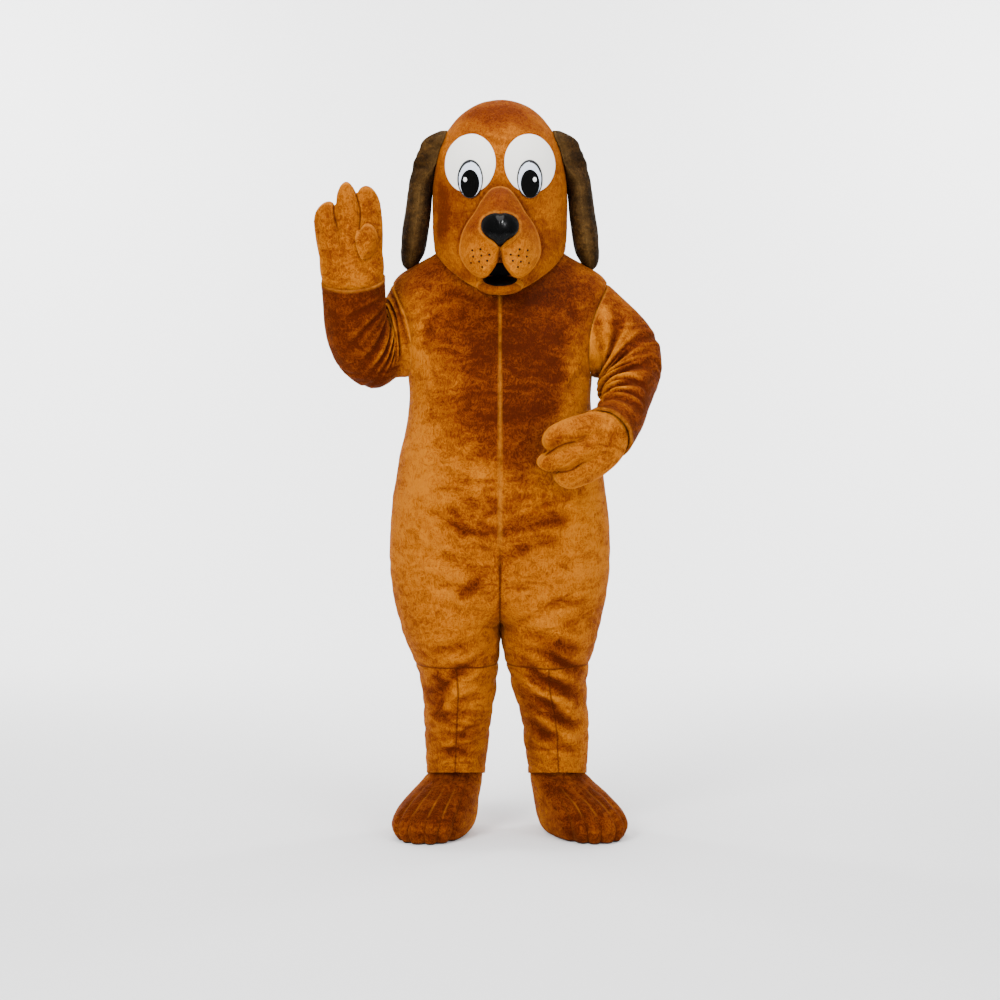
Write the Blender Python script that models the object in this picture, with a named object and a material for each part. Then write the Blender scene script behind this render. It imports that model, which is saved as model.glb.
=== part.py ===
"""Dog mascot costume, worn and filled out, with no wearer: a plush jumpsuit with a tail, a hollow
head, two mitts and two foot covers.

Every panel of cloth is a wall lofted through rings. The rings come from short tables of heights and
girths, measured in metres above the floor, with the dog facing -Y and its left hand at +X. The whole
part is then lowered so that its origin is at the wearer's shoulders, which carry the costume.
"""

import math
from collections import namedtuple

import bmesh
import bpy
import numpy as np

# ---------------------------------------------------------------- driving dimensions, in metres

SHOULDER = 1.380  # height of the shoulder points above the floor, and of the origin
PLUSH = 0.004  # plush with its pile
FOAM = 0.010  # plush on a foam shell, in the head
FELT = 0.002
SEAM = 0.0003  # gap between pieces that meet
UNDERARM = 1.145
FORK = 0.700  # where the centre seams start to turn in between the legs
CROTCH = 0.535
KNEE = 0.430
HEM_FRONT, HEM_BACK = 0.168, 0.122
CROWN = 1.830
LEAN = 0.017  # how far the legs stand over towards the dog's left
LEAN_TOP, LEAN_FOOT = 0.560, 0.230  # the heights between which they come to lean so

AROUND = 8  # columns of faces from a centre seam to a side seam
ARMHOLE_STEPS = 8  # rows of faces beside an armhole
SLEEVE_STEPS = 15
FRONT, BACK = -1, 1

# ---------------------------------------------------------------- tables

# Half of the suit's girth at each height. inner is 0 where the two halves are one body, and below the
# crotch it is the inside of the leg. square is the power of the rounded outline, 2 for an ellipse.
Girth = namedtuple("Girth", "height inner outer front back square")
BODY = [
    Girth(0.080, 0.058, 0.203, 0.040, 0.138, 2.00),
    Girth(0.178, 0.052, 0.205, 0.052, 0.140, 2.00),
    Girth(0.215, 0.046, 0.207, 0.058, 0.140, 2.00),
    Girth(0.253, 0.042, 0.209, 0.066, 0.140, 2.00),
    Girth(0.290, 0.036, 0.209, 0.076, 0.140, 2.05),
    Girth(0.328, 0.028, 0.208, 0.088, 0.139, 2.10),
    Girth(0.365, 0.020, 0.208, 0.101, 0.137, 2.10),
    Girth(0.403, 0.014, 0.213, 0.115, 0.135, 2.10),
    Girth(0.440, 0.009, 0.222, 0.129, 0.135, 2.10),
    Girth(0.478, 0.005, 0.235, 0.142, 0.138, 2.15),
    Girth(0.515, 0.002, 0.246, 0.153, 0.145, 2.20),
    Girth(0.535, 0.000, 0.251, 0.158, 0.149, 2.20),
    Girth(0.553, 0.000, 0.255, 0.162, 0.155, 2.25),
    Girth(0.590, 0.000, 0.264, 0.170, 0.163, 2.30),
    Girth(0.628, 0.000, 0.270, 0.177, 0.171, 2.35),
    Girth(0.665, 0.000, 0.274, 0.186, 0.182, 2.40),
    Girth(0.740, 0.000, 0.275, 0.198, 0.198, 2.40),
    Girth(0.815, 0.000, 0.270, 0.210, 0.208, 2.40),
    Girth(0.890, 0.000, 0.260, 0.218, 0.210, 2.40),
    Girth(0.965, 0.000, 0.248, 0.222, 0.207, 2.40),
    Girth(1.003, 0.000, 0.238, 0.222, 0.205, 2.40),
    Girth(1.078, 0.000, 0.226, 0.213, 0.203, 2.40),
    Girth(1.153, 0.000, 0.230, 0.197, 0.203, 2.40),
    Girth(1.228, 0.000, 0.247, 0.174, 0.201, 2.40),
    Girth(1.303, 0.000, 0.264, 0.143, 0.194, 2.40),
    Girth(1.345, 0.000, 0.272, 0.123, 0.185, 2.40),
    Girth(1.380, 0.000, 0.268, 0.104, 0.173, 2.30),
    Girth(1.400, 0.000, 0.253, 0.092, 0.165, 2.25),
    Girth(1.428, 0.000, 0.208, 0.084, 0.152, 2.15),
    Girth(1.445, 0.000, 0.176, 0.0797, 0.140, 2.10),
    Girth(1.473, 0.000, 0.136, 0.073, 0.114, 2.00),
    Girth(1.500, 0.000, 0.098, 0.066, 0.085, 2.00),
]

# The head's outline at each height. The rim below it dips to the chest at the front.
Skull = namedtuple("Skull", "height half_width front back square")
HEAD = [
    Skull(1.340, 0.120, 0.138, 0.150, 2.0),
    Skull(1.385, 0.140, 0.149, 0.158, 2.1),
    Skull(1.425, 0.156, 0.155, 0.168, 2.2),
    Skull(1.463, 0.167, 0.156, 0.182, 2.25),
    Skull(1.500, 0.172, 0.156, 0.193, 2.3),
    Skull(1.540, 0.173, 0.159, 0.199, 2.3),
    Skull(1.590, 0.172, 0.166, 0.201, 2.3),
    Skull(1.640, 0.167, 0.172, 0.193, 2.25),
    Skull(1.690, 0.157, 0.168, 0.176, 2.2),
    Skull(1.730, 0.143, 0.157, 0.155, 2.1),
    Skull(1.768, 0.119, 0.134, 0.125, 2.0),
    Skull(1.797, 0.091, 0.104, 0.091, 2.0),
    Skull(1.818, 0.056, 0.064, 0.053, 2.0),
    Skull(1.830, 0.0015, 0.0015, 0.0015, 2.0),
]
# Height of the head's rim, by the angle round from the front.
Rim = namedtuple("Rim", "angle height")
RIM = [
    Rim(0, 1.344),
    Rim(25, 1.360),
    Rim(50, 1.398),
    Rim(75, 1.446),
    Rim(95, 1.465),
    Rim(120, 1.463),
    Rim(150, 1.451),
    Rim(180, 1.442),
]

# Sections of the sleeves: the point at the crook's side, the point at the elbow's side, and the half
# thickness across the two. The armhole gives the first ring, and the last is the cuff's hem.
Section = namedtuple("Section", "xi yi zi xo yo zo half ripple")
Numbered = namedtuple("Numbered", ("key",) + Section._fields)
SLEEVE_RIGHT = [
    Section(-0.283, 0.018, 1.345, -0.258, 0.010, 1.144, 0.084, 0.0000),
    Section(-0.287, 0.006, 1.314, -0.300, 0.004, 1.120, 0.080, 0.0010),
    Section(-0.287, -0.010, 1.295, -0.342, -0.008, 1.124, 0.078, 0.0020),
    Section(-0.285, -0.030, 1.288, -0.381, -0.024, 1.150, 0.076, 0.0020),
    Section(-0.283, -0.052, 1.296, -0.409, -0.042, 1.188, 0.075, 0.0020),
    Section(-0.281, -0.070, 1.314, -0.425, -0.058, 1.232, 0.074, 0.0020),
    Section(-0.279, -0.083, 1.334, -0.432, -0.074, 1.278, 0.073, 0.0010),
    Section(-0.279, -0.095, 1.360, -0.434, -0.090, 1.326, 0.071, 0.0000),
    Section(-0.278, -0.112, 1.386, -0.436, -0.111, 1.378, 0.071, 0.0000),
]
SLEEVE_LEFT = [
    Section(0.254, 0.004, 1.142, 0.322, 0.012, 1.330, 0.088, 0.0000),
    Section(0.249, -0.012, 1.128, 0.368, 0.010, 1.280, 0.084, 0.0010),
    Section(0.248, -0.034, 1.117, 0.399, 0.000, 1.218, 0.080, 0.0020),
    Section(0.250, -0.060, 1.108, 0.401, -0.022, 1.156, 0.077, 0.0020),
    Section(0.252, -0.088, 1.100, 0.382, -0.050, 1.102, 0.075, 0.0020),
    Section(0.250, -0.118, 1.091, 0.354, -0.082, 1.048, 0.073, 0.0020),
    Section(0.243, -0.154, 1.080, 0.328, -0.124, 1.000, 0.072, 0.0010),
    Section(0.216, -0.206, 1.068, 0.290, -0.182, 0.952, 0.072, 0.0000),
]

# Mitts: the three points of a bent line from the sleeve's hem to the tip of the middle finger, and
# the way to the thumb's side. side is 1 for the left hand and -1 for the right, wrist widens the mitt where it
# goes into the sleeve, and thumb_lift is how far off the palm the thumb's underside is.
Hand = namedtuple("Hand", "side wrist start middle end thumbwards thumb_lift")
MITT_RIGHT = Hand(
    side=-1,
    wrist=1.212,
    start=(-0.356, -0.109, 1.368),
    middle=(-0.364, -0.150, 1.490),
    end=(-0.372, -0.168, 1.614),
    thumbwards=(1.0, 0.05, 0.0),
    thumb_lift=0.0035,
)
MITT_LEFT = Hand(
    side=1,
    wrist=1.005,
    start=(0.258, -0.190, 1.012),
    middle=(0.210, -0.256, 0.970),
    end=(0.090, -0.274, 0.938),
    thumbwards=(-0.5, -0.2, 0.8),
    thumb_lift=0.0043,
)
MITT_LENGTH = 0.262
# Rows of a mitt: how far along it from the hem, and its half width and half thickness there.
Palm = namedtuple("Palm", "along half_width half_thick")
PALM = [
    Palm(-0.022, 0.050, 0.050),
    Palm(0.000, 0.0545, 0.055),
    Palm(0.025, 0.066, 0.055),
    Palm(0.080, 0.077, 0.044),
    Palm(0.150, 0.083, 0.037),
    Palm(0.210, 0.081, 0.032),
    Palm(0.270, 0.076, 0.028),
]

# How far the fingers reach at places across the mitt, as a share of its length, before FINGER_LOBE.
Finger = namedtuple("Finger", "across reach")
FINGERS = [
    Finger(-1.00, 0.700),
    Finger(-0.67, 0.774),
    Finger(-0.33, 0.845),
    Finger(0.00, 0.950),
    Finger(0.33, 0.920),
    Finger(0.67, 0.900),
    Finger(1.00, 0.830),
]
FINGER_LOBE = 0.05
FINGER_ACROSS = (0.0, 0.18, 0.30, 0.36, 0.50, 0.67, 0.84, 0.95, 1.0)  # columns from the middle out

# Rings of a foot cover, from the collar inside the trouser leg to the sole. toes and heel are how far it
# reaches each way from the ankle, and toe_lobe is how deep the seams between the toes sink.
Ring = namedtuple("Ring", "height x half_width toes heel square toe_lobe")
FOOT = [
    Ring(0.212, 0.1275, 0.055, 0.048, 0.077, 2.0, 0.000),
    Ring(0.180, 0.1280, 0.058, 0.051, 0.080, 2.0, 0.000),
    Ring(0.150, 0.1310, 0.0650, 0.062, 0.0878, 2.0, 0.001),
    Ring(0.124, 0.1400, 0.0765, 0.102, 0.0936, 2.1, 0.003),
    Ring(0.095, 0.1520, 0.087, 0.153, 0.098, 2.2, 0.005),
    Ring(0.066, 0.1630, 0.096, 0.188, 0.102, 2.3, 0.007),
    Ring(0.038, 0.1690, 0.099, 0.203, 0.102, 2.35, 0.008),
    Ring(0.0063, 0.1700, 0.098, 0.204, 0.101, 2.35, 0.008),
]
FOOT_BACK = 0.030  # the ankle's middle lies this far behind the origin
SLOPE_DROP = 0.002  # lowers the wall's inside where the instep slopes, to keep its thickness
SPLAY = 16  # degrees that a foot cover's collar is turned outwards
SPLAY_RIGHT, SPLAY_LEFT = 14, 23  # and its toes
SOLE = 0.006
TOE_SEAMS = (-52, -28, -6, 16, 38)  # degrees from the toes' middle, outwards positive

TAIL_GAP = 0.0009  # keeps the tail's flat base clear of the suit's round back
# The tail: its upper and lower edges, and its half width. The first row lies on the suit.
Tail = namedtuple("Tail", "y_upper z_upper y_lower z_lower half_width")
TAIL = [
    Tail(0.212, 0.852, 0.186, 0.690, 0.043),
    Tail(0.232, 0.812, 0.203, 0.655, 0.043),
    Tail(0.245, 0.775, 0.220, 0.631, 0.042),
    Tail(0.257, 0.735, 0.241, 0.611, 0.040),
    Tail(0.272, 0.692, 0.264, 0.596, 0.037),
    Tail(0.292, 0.655, 0.288, 0.587, 0.032),
    Tail(0.315, 0.625, 0.313, 0.584, 0.024),
    Tail(0.334, 0.605, 0.331, 0.590, 0.010),
]

# The outline of the muzzle where it is sewn to the face, from its middle, by direction: 90 is up. drop is
# how far the flews hang, and square is the power of the rounded profile.
Muzzle = namedtuple("Muzzle", "direction reach drop square")
MUZZLE = [
    Muzzle(-90, 0.045, 0.008, 3.4),
    Muzzle(-72, 0.058, 0.045, 3.4),
    Muzzle(-58, 0.076, 0.062, 3.4),
    Muzzle(-40, 0.094, 0.052, 3.2),
    Muzzle(-20, 0.103, 0.028, 2.9),
    Muzzle(0, 0.096, 0.010, 2.6),
    Muzzle(25, 0.088, 0.000, 2.3),
    Muzzle(50, 0.090, 0.000, 2.1),
    Muzzle(68, 0.106, 0.000, 1.9),
    Muzzle(80, 0.121, 0.000, 1.85),
    Muzzle(90, 0.125, 0.000, 1.8),
]
MUZZLE_HEIGHT, MUZZLE_DEPTH = 1.478, 0.132

# Outlines of the nose, from its middle, by direction.
Edge = namedtuple("Edge", "direction reach")
NOSE = [
    Edge(-90, 0.044),
    Edge(-65, 0.034),
    Edge(-35, 0.036),
    Edge(0, 0.044),
    Edge(30, 0.047),
    Edge(60, 0.041),
    Edge(90, 0.035),
]
NOSE_HEIGHT, NOSE_DOME = 1.492, 0.022

# Pads that lie on the face or on one another: the middle, half sizes, how far the underside is off the
# face, the thickness at the edge, and how much more in the middle.
Pad = namedtuple("Pad", "x z half_width half_height lift thick dome")
EYE_PATCH = Pad(0.0710, 1.658, 0.0595, 0.0695, 0.0017, 0.0020, 0.0)
EYE_DISC = Pad(0.0700, 1.6205, 0.0287, 0.0440, 0.0042, 0.0020, 0.0)
PUPIL = Pad(0.0700, 1.6095, 0.0205, 0.0315, 0.0066, 0.0016, 0.0)
HIGHLIGHT = Pad(0.0805, 1.6190, 0.0042, 0.0060, 0.0086, 0.0012, 0.0010)
MOUTH = Pad(0.0, 1.4040, 0.0420, 0.0145, 0.0008, 0.0020, 0.0)
JAW = Pad(0.0, 1.3685, 0.0560, 0.0195, 0.0008, 0.0015, 0.066)
JAW_DROP = 0.016

# Rows of an ear: its middle, half width from front to back, and half thickness.
Ear = namedtuple("Ear", "height x y half_width half_thick")
EAR = [
    Ear(1.750, 0.1400, -0.014, 0.014, 0.004),
    Ear(1.738, 0.1548, -0.012, 0.034, 0.013),
    Ear(1.700, 0.1764, 0.000, 0.048, 0.019),
    Ear(1.650, 0.1889, 0.010, 0.057, 0.022),
    Ear(1.600, 0.1964, 0.016, 0.062, 0.024),
    Ear(1.550, 0.2009, 0.020, 0.066, 0.026),
    Ear(1.496, 0.2094, 0.023, 0.067, 0.027),
    Ear(1.456, 0.2174, 0.025, 0.059, 0.026),
    Ear(1.436, 0.2224, 0.026, 0.040, 0.019),
    Ear(1.426, 0.2244, 0.027, 0.014, 0.008),
]

# Soft troughs in the cloth, on the side of the body that faces FRONT or BACK. slant is in degrees, up
# towards +X, and depth is how far the trough sinks.
Crease = namedtuple("Crease", "side x height length slant width depth")
CREASES = [
    Crease(FRONT, 0.13, 0.460, 0.17, -22, 0.014, 0.006),
    Crease(FRONT, 0.16, 0.395, 0.15, -30, 0.014, 0.006),
    Crease(FRONT, 0.13, 0.335, 0.16, -34, 0.014, 0.006),
    Crease(FRONT, 0.16, 0.265, 0.14, -32, 0.013, 0.005),
    Crease(FRONT, 0.12, 0.215, 0.12, -18, 0.012, 0.005),
    Crease(FRONT, -0.09, 0.400, 0.14, 32, 0.014, 0.005),
    Crease(FRONT, -0.12, 0.320, 0.13, 24, 0.014, 0.005),
    Crease(FRONT, -0.14, 0.240, 0.13, 10, 0.012, 0.005),
    Crease(FRONT, -0.10, 0.750, 0.20, -12, 0.022, 0.004),
    Crease(FRONT, 0.12, 0.700, 0.20, 12, 0.022, 0.004),
    Crease(BACK, -0.12, 0.560, 0.20, -16, 0.016, 0.006),
    Crease(BACK, -0.14, 0.505, 0.22, -24, 0.016, 0.007),
    Crease(BACK, -0.15, 0.450, 0.20, -30, 0.016, 0.007),
    Crease(BACK, -0.13, 0.395, 0.18, 20, 0.016, 0.006),
    Crease(BACK, -0.12, 0.205, 0.13, -12, 0.012, 0.005),
    Crease(BACK, 0.12, 0.560, 0.20, 16, 0.016, 0.006),
    Crease(BACK, 0.14, 0.505, 0.22, 24, 0.016, 0.007),
    Crease(BACK, 0.15, 0.450, 0.20, 30, 0.016, 0.007),
    Crease(BACK, 0.13, 0.395, 0.18, -20, 0.016, 0.006),
    Crease(BACK, 0.12, 0.205, 0.13, 12, 0.012, 0.005),
]

# ---------------------------------------------------------------- materials

Finish = namedtuple("Finish", "colour roughness")
FINISHES = {
    "plush_brown": Finish((0.52, 0.19, 0.025), 0.85),
    "plush_dark": Finish((0.060, 0.030, 0.012), 0.85),
    "felt_white": Finish((0.86, 0.85, 0.80), 0.80),
    "gloss_black": Finish((0.008, 0.008, 0.008), 0.15),
    "gloss_white": Finish((0.90, 0.91, 0.93), 0.20),
    "lining_black": Finish((0.012, 0.011, 0.010), 0.75),
    "sole_black": Finish((0.025, 0.023, 0.022), 0.70),
}


def material(name):
    """The Principled material of that name, made once."""
    found = bpy.data.materials.get(name)
    if found:
        return found
    made = bpy.data.materials.new(name)
    made.use_nodes = True
    shader = made.node_tree.nodes["Principled BSDF"]
    finish = FINISHES[name]
    shader.inputs["Base Color"].default_value = (*finish.colour, 1.0)
    shader.inputs["Roughness"].default_value = finish.roughness
    return made


# ---------------------------------------------------------------- curves and surfaces


def unit(v):
    """The vectors in the last axis of v, at length 1."""
    return v / np.maximum(np.linalg.norm(v, axis=-1, keepdims=True), 1e-12)


def read(table, value):
    """A row of the table at any value of its first column, on smooth curves through its rows."""
    rows = np.array(table, float)
    keys = rows[:, 0]
    if keys[0] > keys[-1]:
        rows = rows[::-1]
        keys = rows[:, 0]
    value = min(max(value, keys[0]), keys[-1])
    i = min(int(np.searchsorted(keys, value, "right")) - 1, len(keys) - 2)
    slopes = np.gradient(rows, keys, axis=0)
    step = keys[i + 1] - keys[i]
    t = (value - keys[i]) / step
    made = (
        rows[i] * (1 + 2 * t) * (1 - t) ** 2
        + slopes[i] * step * t * (1 - t) ** 2
        + rows[i + 1] * t * t * (3 - 2 * t)
        + slopes[i + 1] * step * t * t * (t - 1)
    )
    return type(table[0])(*made)


def power(value, square):
    """cos or sin of a rounded outline: 2 is an ellipse, and more is squarer."""
    return math.copysign(abs(value) ** (2 / square), value)


def body_point(height, turn):
    """A point on the suit's left half. turn is 0 at the front seam, 1 at the side, and 2 at the back
    seam. Below the crotch, 0 and 2 are both the inseam. Above it, the legs' outlines run together."""
    g = read(BODY, height)
    turn = turn - 2 if turn > 2 else turn
    share = min(max((FORK - height) / (FORK - CROTCH), 0), 1)
    inner = g.inner if height < CROTCH else -g.outer * (1 - share)
    middle, half = (g.back - g.front) / 2, (g.back + g.front) / 2
    centre, radius = (g.outer + inner) / 2, (g.outer - inner) / 2
    cut = 0.0
    if height >= CROTCH:
        cut = math.acos(min(1.0, (centre / radius) ** (g.square / 2)))
    way = 1 if turn < 1 else -1
    a = cut + (math.pi - cut) * (turn if turn < 1 else 2 - turn)
    x = centre - radius * power(math.cos(a), g.square)
    y = middle - way * half * power(max(math.sin(a), 0.0), g.square)
    return np.array([x, y, height])


def lean(height):
    """How far the legs stand over towards the dog's left at a height."""
    share = min(max((LEAN_TOP - height) / (LEAN_TOP - LEAN_FOOT), 0), 1)
    return LEAN * share * share * (3 - 2 * share)


def sink(point, facing):
    """How far the creases sink the cloth at a point that faces front or back."""
    depth = 0.0
    for c in CREASES:
        if c.side * facing < 0.15:
            continue
        a = math.radians(c.slant)
        dx, dz = point[0] - c.x, point[2] - c.height
        along = (dx * math.cos(a) + dz * math.sin(a)) / (c.length / 2)
        across = (dz * math.cos(a) - dx * math.sin(a)) / c.width
        if abs(along) < 1:
            end = (1 - along * along) ** 2
            depth += c.depth * end * math.exp(-across * across) * min(abs(facing), 1)
    return depth


def grid_normals(points, closed=False):
    """Outward or inward normals of a grid of points, rows by columns, from its own shape."""
    if closed:
        wrapped = np.concatenate([points[:, -2:-1], points, points[:, 1:2]], axis=1)
        across = wrapped[:, 2:] - wrapped[:, :-2]
    else:
        across = np.gradient(points, axis=1)
    return unit(np.cross(across, np.gradient(points, axis=0)))


def inset_edges(outer, inner, sides, gap=SEAM / 2):
    """Draws a wall's borders in, a gap from its neighbours. sides holds left, right, first or last."""
    for layer in (outer, inner):
        before = layer.copy()
        if "left" in sides:
            layer[:, 0] += gap * unit(before[:, 1] - before[:, 0])
        if "right" in sides:
            layer[:, -1] += gap * unit(before[:, -2] - before[:, -1])
        if "first" in sides:
            layer[0] += gap * unit(before[1] - before[0])
        if "last" in sides:
            layer[-1] += gap * unit(before[-2] - before[-1])


def face_point(x, height, lift=0.0):
    """A point in front of the face, lift metres off the head's surface."""

    def at(px, pz):
        s = read(HEAD, pz)
        middle, half = (s.back - s.front) / 2, (s.back + s.front) / 2
        share = min(abs(px) / s.half_width, 0.9999)
        return np.array([px, middle - half * (1 - share**s.square) ** (1 / s.square), pz])

    e = 0.001
    round_it = at(x + e, height) - at(x - e, height)
    up = at(x, height + e) - at(x, height - e)
    return at(x, height) + lift * unit(np.cross(round_it, up))


def round_off(share, square):
    """How high a rounded form stands at a share of its reach, as a share of its height."""
    return (1 - min(max(share, 0.0), 1.0) ** square) ** (1 / square)


def muzzle_point(direction, share):
    """A point on the muzzle. share goes from 0 at its tip to 1 at its seam with the face."""
    m = read(MUZZLE, direction)
    forward = round_off(share, m.square)
    a = math.radians(direction)
    x, z = share * m.reach * math.cos(a), MUZZLE_HEIGHT + share * m.reach * math.sin(a)
    base = face_point(x, z, 0.0016)
    return base + np.array([0, -MUZZLE_DEPTH * forward, -share * m.drop * forward])


def muzzle_front(x, height):
    """How far forward the muzzle reaches at a place on its front."""
    z = height
    for _ in range(25):
        direction = math.degrees(math.atan2(z - MUZZLE_HEIGHT, abs(x) + 1e-9))
        m = read(MUZZLE, direction)
        share = min(math.hypot(x, z - MUZZLE_HEIGHT) / m.reach, 0.97)
        z = height + share * m.drop * round_off(share, m.square)
    return face_point(x, z, 0.0016)[1] - MUZZLE_DEPTH * round_off(share, m.square)


# ---------------------------------------------------------------- solids


def finish_solid(name, bm, slot):
    """Makes an object of a closed mesh, facing out, lowered so that the shoulders are at the origin."""
    bmesh.ops.remove_doubles(bm, verts=bm.verts, dist=2e-6)
    bmesh.ops.recalc_face_normals(bm, faces=bm.faces)
    if bm.calc_volume(signed=True) < 0:
        bmesh.ops.reverse_faces(bm, faces=bm.faces)
    bmesh.ops.translate(bm, verts=bm.verts, vec=(0, 0, -SHOULDER))
    mesh = bpy.data.meshes.new(name)
    bm.to_mesh(mesh)
    bm.free()
    mesh.materials.append(material(slot))
    mesh.shade_smooth()
    mesh.set_sharp_from_angle(angle=math.radians(50))
    obj = bpy.data.objects.new(name, mesh)
    bpy.data.collections["dog_mascot_costume"].objects.link(obj)
    return obj


def wall(name, outer, inner, slot, closed=False, pole=False):
    """A closed wall between two grids of points, rows by columns. closed joins its last column to its
    first, and pole is for a first row that is all one point."""
    rows, columns = outer.shape[:2]
    bm = bmesh.new()
    layers = [[[bm.verts.new(p) for p in row] for row in grid] for grid in (outer, inner)]

    def face(*corners):
        bm.faces.new([layers[k][i][j % columns] for k, i, j in corners])

    for i in range(rows - 1):
        for j in range(columns if closed else columns - 1):
            face((0, i, j), (0, i + 1, j), (0, i + 1, j + 1), (0, i, j + 1))
            face((1, i, j), (1, i, j + 1), (1, i + 1, j + 1), (1, i + 1, j))
        if not closed:
            face((0, i, 0), (1, i, 0), (1, i + 1, 0), (0, i + 1, 0))
            last = columns - 1
            face((0, i, last), (0, i + 1, last), (1, i + 1, last), (1, i, last))
    for j in range(columns if closed else columns - 1):
        if not pole:
            face((0, 0, j), (0, 0, j + 1), (1, 0, j + 1), (1, 0, j))
        last = rows - 1
        face((0, last, j), (1, last, j), (1, last, j + 1), (0, last, j + 1))
    return finish_solid(name, bm, slot)


def tube(name, rings, slot):
    """A filled form through closed rings of points, with both ends capped from their middles."""
    bm = bmesh.new()
    loops = [[bm.verts.new(p) for p in ring] for ring in rings]
    count = len(loops[0])
    for first, second in zip(loops, loops[1:]):
        for j in range(count):
            bm.faces.new((first[j], second[j], second[(j + 1) % count], first[(j + 1) % count]))
    for ring, loop, way in ((rings[0], loops[0], 1), (rings[-1], loops[-1], -1)):
        middle = bm.verts.new(np.mean(ring, axis=0))
        for j in range(count):
            bm.faces.new((loop[j], loop[(j + 1) % count], middle)[::way])
    return finish_solid(name, bm, slot)


def mirrored(grid, side):
    """The same grid, on the other side of the middle where side is -1."""
    return np.array(grid) * np.array([side, 1, 1])


def outline(table, angle):
    """How far an outline given by its directions reaches at any angle, the same on both sides."""
    folded = math.degrees(math.asin(max(-1.0, min(1.0, math.sin(math.radians(angle))))))
    return read(table, folded).reach


def pad(name, p, side, slot, surface=face_point, steps=3, spokes=24, drop=0.0):
    """A pad on a surface that is given by x, height and how far off it to be."""
    top, bottom = [], []
    for i in range(steps + 1):
        share = i / steps
        high = round_off(share, 2.4)
        upper, lower = [], []
        for j in range(spokes):
            a = 2 * math.pi * j / spokes
            x = p.x + p.half_width * share * math.cos(a)
            z = p.z + p.half_height * share * math.sin(a)
            lower.append(surface(x, z, p.lift))
            point = surface(x, z, p.lift + p.thick)
            upper.append(point + np.array([0, -p.dome * high, -drop * high]))
        top.append(upper)
        bottom.append(lower)
    return wall(name, mirrored(top, side), mirrored(bottom, side), slot, closed=True, pole=True)


# ---------------------------------------------------------------- the suit

ARMHOLE_FRONT, ARMHOLE_BACK = 0.345, 0.244  # its reach each way from the side, in turns of body_point


def suit_heights():
    """Heights of the suit's rows, from the neck's edge to the knee seam."""
    collar = list(np.linspace(1.500, SHOULDER, 6))[:-1]
    swing = [math.cos(math.pi * k / ARMHOLE_STEPS) for k in range(ARMHOLE_STEPS + 1)]
    middle, half = (SHOULDER + UNDERARM) / 2, (SHOULDER - UNDERARM) / 2
    armhole = [middle + half * c for c in swing]
    waist = list(np.linspace(UNDERARM, FORK, 6))[1:]
    fork = [FORK - (FORK - CROTCH) * math.sin(math.pi / 2 * k / 4) for k in range(1, 5)]
    thigh = list(np.linspace(CROTCH, KNEE, 5))[1:]
    return collar + armhole + waist + fork + thigh


def armhole_share(height):
    """How wide the armhole is at a height, as a share of its widest."""
    middle, half = (SHOULDER + UNDERARM) / 2, (SHOULDER - UNDERARM) / 2
    return math.sqrt(max(0, 1 - ((height - middle) / half) ** 2))


def cloth_row(height, turns, side):
    """Outer and inner points of the suit at one height, for a list of turns. side is 1 on the left."""
    outer, inner = [], []
    for turn in turns:
        e = 0.002
        p = body_point(height, turn)
        round_it = body_point(height, turn + e) - body_point(height, turn - e)
        up = body_point(height + e, turn) - body_point(height - e, turn)
        normal = unit(np.cross(round_it, up))
        on_seam = abs(turn) < 1e-6 or abs(turn - 2) < 1e-6
        if on_seam and height > CROTCH + 1e-6:
            normal = unit(seam_normal(height, turn))
        elif on_seam:
            normal = np.array([-1.0, 0, 0]) if height < CROTCH - 1e-6 else np.array([0, 0, -1.0])
        p, normal = p * [side, 1, 1], normal * [side, 1, 1]
        p = p - sink(p, normal[1]) * normal + np.array([lean(height), 0, 0])
        outer.append(p)
        inner.append(p - PLUSH * normal)
    return outer, inner


def seam_normal(height, turn):
    """The normal of the centre seam, which stays in the plane x = 0 as it turns in between the legs."""
    e = 0.0005
    above, below = body_point(height + e, turn), body_point(max(height - e, CROTCH), turn)
    along = above - below
    return np.array([0, -along[2], along[1]]) * (1 if turn < 1 else -1)


def armhole_border(outer, inner):
    """The armhole's edge as the sleeve meets it, a gap inside the panel's own."""
    along = np.gradient(outer, axis=0)
    away = unit(np.cross(outer - inner, along))
    middle = (outer[0] + outer[-1]) / 2
    middle = middle + (outer[len(outer) // 2] - middle) * 0.2
    away *= np.sign(((middle - outer) * away).sum(axis=1, keepdims=True)) * SEAM * 1.5
    return outer + away, inner + away


def suit_panel(name, side, front):
    """A front or back of the suit, from neck to knee. Returns its armhole border, from the top down."""
    outer, inner = [], []
    for h in suit_heights():
        reach = armhole_share(h)
        edge = 1 - ARMHOLE_FRONT * reach if front else 1 + ARMHOLE_BACK * reach
        o, n = cloth_row(h, np.linspace(0 if front else 2, edge, AROUND + 1), side)
        outer.append(o)
        inner.append(n)
    outer, inner = np.array(outer), np.array(inner)
    rows = slice(5, 6 + ARMHOLE_STEPS)
    border = armhole_border(outer[rows, -1], inner[rows, -1])
    inset_edges(outer, inner, ("left", "right", "last"))
    for layer in (outer, inner):
        middle = np.array([[lean(h)] for h in suit_heights()])
        layer[:, :, 0] = middle + side * np.maximum(side * (layer[:, :, 0] - middle), SEAM / 2)
    wall(name, outer, inner, "plush_brown")
    return border


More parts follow.
